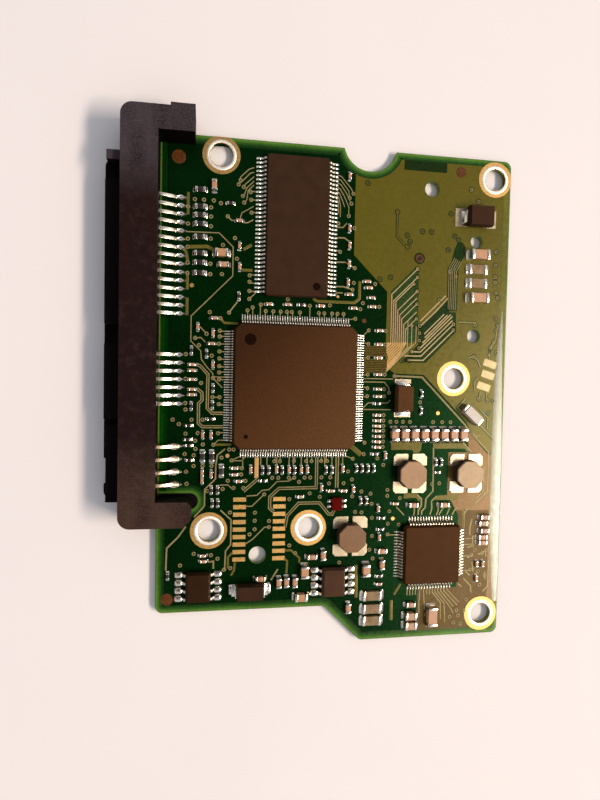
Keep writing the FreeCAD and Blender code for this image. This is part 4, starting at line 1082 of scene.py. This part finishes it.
# Tracks on the bus's right: place of the upright, its level at the turn, and its top
BUS_RIGHT = [(40.4, 35.33, 27.3), (41.1, 35.62, 27.7), (41.85, 35.9, 28.2)]
BUS_PATCHES = [
    [(36.85, 31.0), (40.3, 30.9), (38.4, 34.2), (37.0, 35.7), (36.9, 34.2), (37.1, 33.4), (36.8, 32.5)],
]

# Seams between the tracks where the uprights turn into the level runs
SEAM_COUNT = 6
SEAM_WIDTH = 0.11
SEAM_RIGHT = 37.7
SEAM_TOP = 30.95
SEAM_TURN = 31.3
SEAM_DROP = 0.12
SEAM_LEFT = 36.95

# Copper areas under the mask; strips along the edges: left, top, right and bottom
RIGHT_EDGE = (56.7, 2.0, 57.79, 76.0)
# Along the left edge: bright painted glow below the connector, then dimmer glow beside it and above it,
# where it stands for the connector's shade
LEFT_GLOW_STRIPS = [(0.45, 28.2, 1.05, 55.2)]
LEFT_DIM_GLOW_STRIPS = [(1.05, 28.2, 1.6, 55.2), (0.45, 1.0, 1.1, 28.2)]
LEFT_LINE = [(0.36, 4.0), (0.36, 56.0)]
# Thick gloss along the right edge: how far down, its left and its right limit
BEAD_ROWS = [
    (25.0, 57.00, 57.20), (29.0, 56.60, 57.35), (36.0, 56.10, 57.50),
    (48.0, 56.00, 57.80), (62.0, 56.10, 57.83), (75.2, 56.90, 57.83),
]
# Its strips from the left: where each one starts across it, and how much it mirrors
BEAD_STRIPS = [(0.0, 0.48), (0.15, 0.58), (0.3, 0.72), (0.45, 0.86), (0.6, 1.0)]
# Pours; the upper one keeps clear of the round notch in the top edge
NOTCH = (33.4, -1.05)
NOTCH_CLEARANCE = 5.65
UPPER_POUR = [
    *arc(*NOTCH, NOTCH_CLEARANCE, 115.7, 22.4), (52.96, 1.1), *arc(55.1, 3.2, 3.0, 224.5, 54.3),
    (56.85, 5.64), (56.85, 49.6), (56.1, 49.6), (51.9, 45.2), (51.2, 44.0), (43.4, 36.2), (38.4, 36.1),
    (36.7, 35.0), (36.7, 22.7), (30.95, 17.0),
]
LOWER_POUR = [
    (51.4, 45.4), (55.4, 49.6), (56.85, 49.6), (56.85, 75.17), *arc(54.85, 77.2, 2.85, -45.4, -68.2),
    (55.9, 59.2), (49.83, 59.2), (48.2, 56.4), (48.2, 49.2), (51.9, 49.2),
]
DRIVER_POUR = [
    (55.9, 59.2), *arc(54.85, 77.2, 2.85, -68.2, -233.1), (52.0, 79.6), (43.3, 79.6), (43.3, 72.4),
    (50.3, 72.4), (50.3, 60.0), (49.83, 59.2),
]
# The mask over tracks in the upper pour is pale to the right of and below these places
PALE_FROM = [(50.0, 0.0), (41.0, 18.0)]
# Areas without copper, then areas of dull copper
BARE_AREAS = [
    [(47.1, 18.4), (47.7, 17.3), (48.2, 15.2), (48.7, 14.0), (49.6, 13.9), (50.2, 14.7), (50.0, 16.2),
     (49.2, 17.4), (48.95, 19.2), (48.95, 25.4), (47.1, 25.4)],
    [(39.1, 1.1), (46.5, 1.1), (46.5, 2.7), (39.1, 2.7)],
    [(42.4, 28.2), (47.2, 23.5), (47.6, 25.6), (48.8, 25.6), (48.9, 28.9), (43.7, 34.2), (39.3, 34.2),
     (42.3, 31.2)],
]
UPRIGHT_GAPS = [
    [(37.3, 22.6), (41.5, 18.4), (42.1, 18.6), (42.1, 30.4), (40.7, 31.0), (40.02, 31.0),
     *BUS_BENDS[::-1], (37.3, 23.0)],
]
BROWN_GAPS = [[(37.3, 31.0), (40.02, 31.0), *BUS_BENDS[::-1], (37.3, 23.0)]]
RUN_GAPS = [
    [(33.0, 31.6), (36.8, 31.6), (36.8, 33.4), (33.0, 33.4)],
    [(33.0, 33.75), (36.9, 33.75), (36.9, 36.05), (33.0, 36.05)],
]
OLIVE_AREAS = [
    [(38.0, 47.5), (43.4, 47.5), (43.3, 48.8), (42.9, 49.3), (42.0, 49.3), (41.8, 48.8), (38.1, 48.8)],
    [(45.4, 47.7), (51.2, 47.7), (52.2, 49.0), (51.6, 49.1), (51.0, 48.6), (45.4, 48.6)],
    [(40.6, 56.0), (43.0, 56.3), (43.6, 57.0), (43.2, 57.5), (42.6, 56.9), (40.4, 57.0)],
    [(46.2, 56.6), (50.2, 56.4), (50.2, 57.4), (46.0, 57.3)],
]

# Tinned pads: left, top, right and bottom
BARE_PADS = [
    (48.2, 8.3, 50.4, 11.3), (53.2, 8.4, 55.45, 11.3), (38.4, 37.0, 41.2, 37.7), (38.4, 42.5, 41.2, 43.3),
]
# Contacts, how far their solder runs back and out from the tail's end, its width and its height
TAIL_SOLDER = [
    ("power_contacts", 0.85, 0.80, 0.86, 0.42),
    ("signal_contacts", 0.85, 0.80, 0.86, 0.42),
    ("jumper_pins", 1.90, 0.65, 1.25, 0.48),
]
# Other spots of solder: middle, length, width and height
SOLDER_SPOTS = [
    (10.85, 17.9, 0.5, 1.3, 0.25), (50.4, 18.4, 0.45, 1.6, 0.25), (50.4, 20.7, 0.45, 1.6, 0.25),
    (17.9, 71.3, 0.8, 2.0, 0.35), (11.8, 71.3, 0.7, 1.8, 0.30),
]
# Screw holes, and the rim of solder round each: its width, then share of that and rise over the plating
SCREW_HOLES = 6
RING_SOLDER = 0.58
RING_STEPS = ((1.0, -0.02), (0.85, 0.03), (0.3, 0.03))
RING_LIP = 0.01
RING_DEPTH = 0.05
# Chip parts, and the solder at their ends: share of the way out, and share of the part's height
CHIP_PARTS = [
    "row_capacitor", "large_capacitor", "small_capacitor", "tiny_capacitor",
    "large_resistor", "small_resistor",
]
END_STEPS = ((0.18, 0.42), (0.5, 0.16), (1.0, 0.0))
END_OVERLAP = 0.05
END_TOP = 0.72
# How far out it runs: at least, and more for each millimetre of the end's width; its own share of that width
END_OUT = 0.22
END_OUT_MORE = 0.18
END_WIDTH = 1.12
# Solder at leads: how far it runs out and in from the tip, share of the lead's width, and height
LEAD_SOLDER = {
    "controller": (0.40, 0.35, 1.0, 0.10),
    "memory": (0.55, 0.35, 1.3, 0.22),
    "motor_driver": (0.32, 0.25, 0.9, 0.12),
}
# Its profile: height at the very back, then share of the way in or out, and share of the height
HEEL_FOOT = 0.02
HEEL_STEP = (0.8, 0.5)
TOE_STEPS = ((0.0, 1.0), (0.3, 0.9), (0.65, 0.5), (1.0, 0.0))
# Chips with a ball of solder at each lead, its length, width and height, and how far out it stands
BALL_CHIPS = ("left_chip", "middle_chip")
BALL_SIZE = (1.5, 1.1, 0.5)
BALL_SHIFT = 0.05
# Tracks from leads to vias: how far from the tip a via may be, and how far it has to be, also outwards
ESCAPE_REACHES = {"controller": 2.2, "memory": 2.0, "motor_driver": 2.0}
ESCAPE_LEAST = 0.3
ESCAPE_OUT = 0.2
# Their shortest first run, and how far back under the lead they start
ESCAPE_STEM = 0.15
ESCAPE_ROOT = 0.2


# Films on the board's face


def painted_glow_rim_mask(step):
    """Lacquer of one band along the rim, in painted glow: the further in, the nearer to the inner plane's
    tone.
    """
    share = (step / RIM_STEPS) ** RIM_FADE
    tone = tuple(rim ** (1 - share) * plane ** share for rim, plane in zip(RIM_GLOW_TONE, PLANE_TONE))
    return mask(f"painted_glow_rim_mask_{step + 1}", tone, *RIM_LOOK)


def bead_mask(step, level):
    """Lacquer of one strip of the gloss on the right edge."""
    return mask(f"bead_mask_{step + 1}", BEAD_TONE, EVEN, 0.9, 6.0, level, BEAD_GLOSS, BEAD_ROUGH)


RIM_FILMS = [Film(f"mask_along_rim_{step + 1}", painted_glow_rim_mask(step)) for step in range(RIM_STEPS)]
BEAD_FILMS = [Film(f"mask_bead_{step + 1}", bead_mask(step, row[1])) for step, row in enumerate(BEAD_STRIPS)]
RIGHT_RIM = Film("mask_on_right_edge", MASKS["right_edge"])
LEFT_RIM = Film("mask_on_left_edge", MASKS["left_edge"])
LEFT_FADE = Film("mask_by_left_edge", MASKS["dim_glow_edge"])
PLANE = Film("mask_over_inner_plane", MASKS["plane"])
UPPER = Film("mask_over_upper_pour", MASKS["pour"])
LOWER = Film("mask_over_lower_pour", MASKS["lower_pour"])
BY_DRIVER = Film("mask_by_motor_driver", MASKS["driver_pour"])
GAPS = Film("mask_in_gaps", MASKS["gap"])
UPRIGHT_GAP = Film("mask_between_bus_uprights", MASKS["bus_gap"])
BROWN_GAP = Film("mask_at_bus_foot", MASKS["brown_gap"])
RUN_GAP = Film("mask_between_bus_runs", MASKS["run_gap"])
LINES = Film("mask_over_tracks", MASKS["track"])
PALE_LINES = Film("mask_over_fine_tracks", MASKS["pale_track"])
BUS_LINES = Film("mask_over_bus", MASKS["bus"])
WARM_LINES = Film("mask_over_wide_tracks", MASKS["warm_track"])
HOLE_FLOORS = Film("via_holes", HOLE_SHADE)
COPPER = Film("copper_targets", TARGET_COPPER)
BARE_GOLD = Film("gold_test_dots", GOLD, "gold_plate")
SOLDER = Film("solder", TIN, "tinned_metal")
DIMPLES = Film("chip_dimples", DIMPLE_SHADE, "chip_moulding")
PADS = Film("tinned_pads", TERMINAL, "tinned_metal")
RING_TIN = Film("screw_ring_solder", RING_RIM, "tinned_metal")


def rim_lacquer():
    """The lacquer along the board's edge, in bands of painted glow that are darker further in, and its bead
    on the right.
    """
    band = (EDGE_BAND - RIM_INSET) / RIM_STEPS
    for step, film in enumerate(RIM_FILMS):
        outer = RIM_INSET + band * step
        steps = [(outer, RIM_TOP), (outer + band + RIM_OVERLAP, RIM_TOP)]
        if step == 0:
            steps.insert(0, (RIM_FOOT, 0.0))
        rows = [[spot(*place, level) for place in offset_line(RIM, inset, True)] for inset, level in steps]
        film.loft(rows, closed=True)
    RIGHT_RIM.sheet([oblong(*RIGHT_EDGE)], PLANE_TOP)
    # Strips of painted glow along the left edge; the dim ones are partly painted shade
    for film, strips in ((LEFT_RIM, LEFT_GLOW_STRIPS), (LEFT_FADE, LEFT_DIM_GLOW_STRIPS)):
        for strip in strips:
            film.sheet([oblong(*strip)], POUR_TOP)
    LINES.track(LEFT_LINE, EDGE_LINE_WIDTH, PLANE_TOP)
    limits = [share for share, level in BEAD_STRIPS] + [1.0]
    for film, *shares in zip(BEAD_FILMS, limits, limits[1:]):
        rows = []
        for y, left, right in BEAD_ROWS:
            rows.append([spot(left + (right - left) * share, y, BEAD_TOP) for share in shares])
        film.loft(rows)


def copper_areas():
    """The inner plane and the pours, with room round the screw rings and holes."""
    holes = [offset_line(hole, HOLE_CLEARANCE, True) for hole in HOLES]
    PLANE.sheet([offset_line(RIM, EDGE_BAND, True), *holes], PLANE_TOP)
    for film, pour in ((UPPER, UPPER_POUR), (LOWER, LOWER_POUR), (BY_DRIVER, DRIVER_POUR)):
        outline = corners(pour)
        film.sheet([outline, *(hole for hole in holes if inside(hole[0], outline))], POUR_TOP)
    for film, areas, top in (
        (GAPS, BARE_AREAS, GAP_TOP),
        (LINES, OLIVE_AREAS, GAP_TOP),
        (UPRIGHT_GAP, UPRIGHT_GAPS, GAP_TOP),
        (BROWN_GAP, BROWN_GAPS, GAP_TOP),
        (RUN_GAP, RUN_GAPS, GAP_TOP),
        (WARM_LINES, BUS_PATCHES, PATCH_TOP),
    ):
        for area in areas:
            film.sheet([corners(area)], top)


def in_upper_pour(place):
    """Whether a place is in the upper pour, and whether the mask over its copper is dull there."""
    x, y = place
    held = inside(Vector(place), corners(UPPER_POUR))
    return held, held and not any(x > left and y > top for left, top in PALE_FROM)


def vias():
    """Ringed holes with a dark disc of painted shade in each, and a dark gap round those that stand in the
    upper pour.
    """
    for x, y in VIAS:
        held, dull = in_upper_pour((x, y))
        if held:
            GAPS.disc(x, y, VIA_CLEARANCE, GAP_TOP)
        (LINES if dull else PALE_LINES).ring(x, y, VIA_RADIUS, VIA_HOLE)
        HOLE_FLOORS.disc(x, y, VIA_FLOOR, HOLE_TOP)
    GAPS.disc(*TEST_RING, TEST_CLEARANCE, GAP_TOP)
    COPPER.ring(*TEST_RING, TEST_RADIUS, TEST_HOLE)
    HOLE_FLOORS.disc(*TEST_RING, TEST_FLOOR, HOLE_TOP)


def tracks():
    """All copper tracks under the mask, with a dark gap along those that start in the upper pour."""
    for width, line in ((width, line) for width, lines in TRACKS for line in lines):
        held, dull = in_upper_pour(line[0])
        if held:
            GAPS.track(line, width + TRACK_GAP, GAP_TOP)
        (LINES if dull or width > DULL_WIDTH else PALE_LINES).track(line, width)
    WARM_LINES.track(WARM_TRACK, WARM_WIDTH)
    for width, count, gap, line in TRACK_SETS:
        for step in range(count):
            PALE_LINES.track(offset_line(corners(line), gap * step), width)
    for line in SLANTED_TRACKS:
        BUS_LINES.track(line, SLANT_WIDTH)


def bus():
    """The dense bus: level runs, and uprights that slant off to their vias."""
    for level in BUS_LEVELS:
        LINES.track([(BUS_LEFT, level), (BUS_TURN, level)], RUN_WIDTH)
    for bend, end in zip(BUS_BENDS, BUS_ENDS):
        BUS_LINES.track([(bend[0], BUS_FOOT), bend, end], UPRIGHT_WIDTH)
    for x, level, top in BUS_RIGHT:
        BUS_LINES.track([(BUS_TURN, level), (x, level - (x - BUS_TURN)), (x, top)], OUTER_WIDTH)
    for step in range(SEAM_COUNT):
        x = SEAM_RIGHT + BUS_STEP * step
        turn = SEAM_TURN + SEAM_DROP * step
        seam = [(x, SEAM_TOP), (x, turn), (SEAM_LEFT, turn + x - SEAM_LEFT)]
        BROWN_GAP.track(seam, SEAM_WIDTH, SEAM_LEVEL)


def outer_end(low, high, outward):
    """The foot of a solid's outward side, and its width across that way in millimetres."""
    reach = (high - low) / 2
    at = (low + high) / 2 + Vector((outward.x * reach.x, outward.y * reach.y, 0))
    at.z = BOARD_HIGH.z
    return at, 2 * (reach.y if outward.x else reach.x) / MM


def lead_ends(chip):
    """Each lead's tip on the board's face, the way it points, and its width in millimetres."""
    body_low, body_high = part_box(chip + "_body")
    ends = []
    for low, high in solids_of(chip + "_leads"):
        middle = (low + high) / 2
        if middle.x < body_low.x or middle.x > body_high.x:
            outward = Vector((1, 0, 0)) if middle.x > body_high.x else Vector((-1, 0, 0))
        else:
            outward = Vector((0, 1, 0)) if middle.y > body_high.y else Vector((0, -1, 0))
        at, width = outer_end(low, high, outward)
        ends.append((at, outward, width))
    return ends


def lead_tips(chip):
    """Each lead's tip as a place on the board, and the way it points there."""
    return [(place_of(at), Vector((outward.x, -outward.y))) for at, outward, width in lead_ends(chip)]


def escapes(chip, reach):
    """Short tracks from a chip's lead tips to the vias that are near them and further out."""
    tips = lead_tips(chip)
    for place in VIAS:
        via = Vector(place)
        tip, outward = min(tips, key=lambda pair: (pair[0] - via).length)
        gap = via - tip
        out = gap.dot(outward)
        aside = abs(gap.dot(Vector((outward.y, -outward.x))))
        if ESCAPE_LEAST < gap.length < reach and out > ESCAPE_OUT:
            turn = tip + outward * max(ESCAPE_STEM, out - aside)
            PALE_LINES.track([tip - outward * ESCAPE_ROOT, turn, via], ESCAPE_WIDTH)


def dots():
    """Round targets of bare copper, small gold test dots, and the dark floors of painted shade in the chips'
    dimples.
    """
    for x, y, radius in TARGETS:
        COPPER.disc(x, y, radius)
    for x, y, radius in GOLD_DOTS:
        BARE_GOLD.disc(x, y, radius)
    for x, y, radius, level in DIMPLE_PLACES:
        DIMPLES.rings(x, y, ((radius, level - DIMPLE_FOOT), (DIMPLE_SLOPE * radius, level + DIMPLE_TOP)))


def bare_pads():
    """Tinned pads that show round the feet of the diodes."""
    for pad in BARE_PADS:
        PADS.sheet([oblong(*pad)], PAD_TOP)


def ring_solder():
    """A bright rim of solder round each screw hole."""
    for hole in HOLES[:SCREW_HOLES]:
        middle = sum(hole, Vector((0.0, 0.0))) / len(hole)
        bore = sum((place - middle).length for place in hole) / len(hole)
        steps = [(bore + share * RING_SOLDER, PLATING + up) for share, up in RING_STEPS]
        RING_TIN.rings(*middle, [*steps, (bore - RING_LIP, PLATING - RING_DEPTH)], cap=False)


def chip_end_solder():
    """Solder drawn up the metal ends of the chip parts."""
    for group in CHIP_PARTS:
        bodies = [(low + high) / 2 for low, high in solids_of(group + "_bodies")]
        for low, high in solids_of(group + "_ends"):
            middle = (low + high) / 2
            body = min(bodies, key=lambda place: (place - middle).length)
            away = middle - body
            if abs(away.x) > abs(away.y):
                outward = Vector((math.copysign(1, away.x), 0, 0))
            else:
                outward = Vector((0, math.copysign(1, away.y), 0))
            at, width = outer_end(low, high, outward)
            tall = (high.z - BOARD_HIGH.z) / MM
            out = END_OUT + END_OUT_MORE * width
            profile = [(-END_OVERLAP, END_TOP * tall), *((out * way, tall * up) for way, up in END_STEPS)]
            SOLDER.fillet(at, outward, END_WIDTH * width, profile)


def lead_solder(chip, toe, heel, wide, height):
    """Solder along the foot of each lead: toe is how far it runs out past the tip, heel how far in."""
    way_in, up_in = HEEL_STEP
    back = [(-heel, HEEL_FOOT), (-heel * way_in, height * up_in)]
    profile = [*back, *((toe * way, height * up) for way, up in TOE_STEPS)]
    for at, outward, width in lead_ends(chip):
        SOLDER.fillet(at, outward, wide * width, profile)


def ball_solder(chip):
    """Full round solder on the feet of a chip with few leads."""
    for place, outward in lead_tips(chip):
        SOLDER.mound(place.x + BALL_SHIFT * outward.x, place.y, *BALL_SIZE)


def terminal_solder():
    """Solder at the ends of the connector's tails, and at a few other spots."""
    for group, back, out, width, height in TAIL_SOLDER:
        for low, high in solids_of(group):
            middle = place_of((low + high) / 2)
            tail = place_of(high).x
            SOLDER.leaf(tail + (out - back) / 2, middle.y, back + out, width, height)
    for solder in SOLDER_SPOTS:
        SOLDER.mound(*solder)


rim_lacquer()
copper_areas()
vias()
tracks()
bus()
for chip, reach in ESCAPE_REACHES.items():
    escapes(chip, reach)
dots()
bare_pads()
ring_solder()
chip_end_solder()
for chip, solder in LEAD_SOLDER.items():
    lead_solder(chip, *solder)
for chip in BALL_CHIPS:
    ball_solder(chip)
terminal_solder()
for film in FILMS:
    film.done()
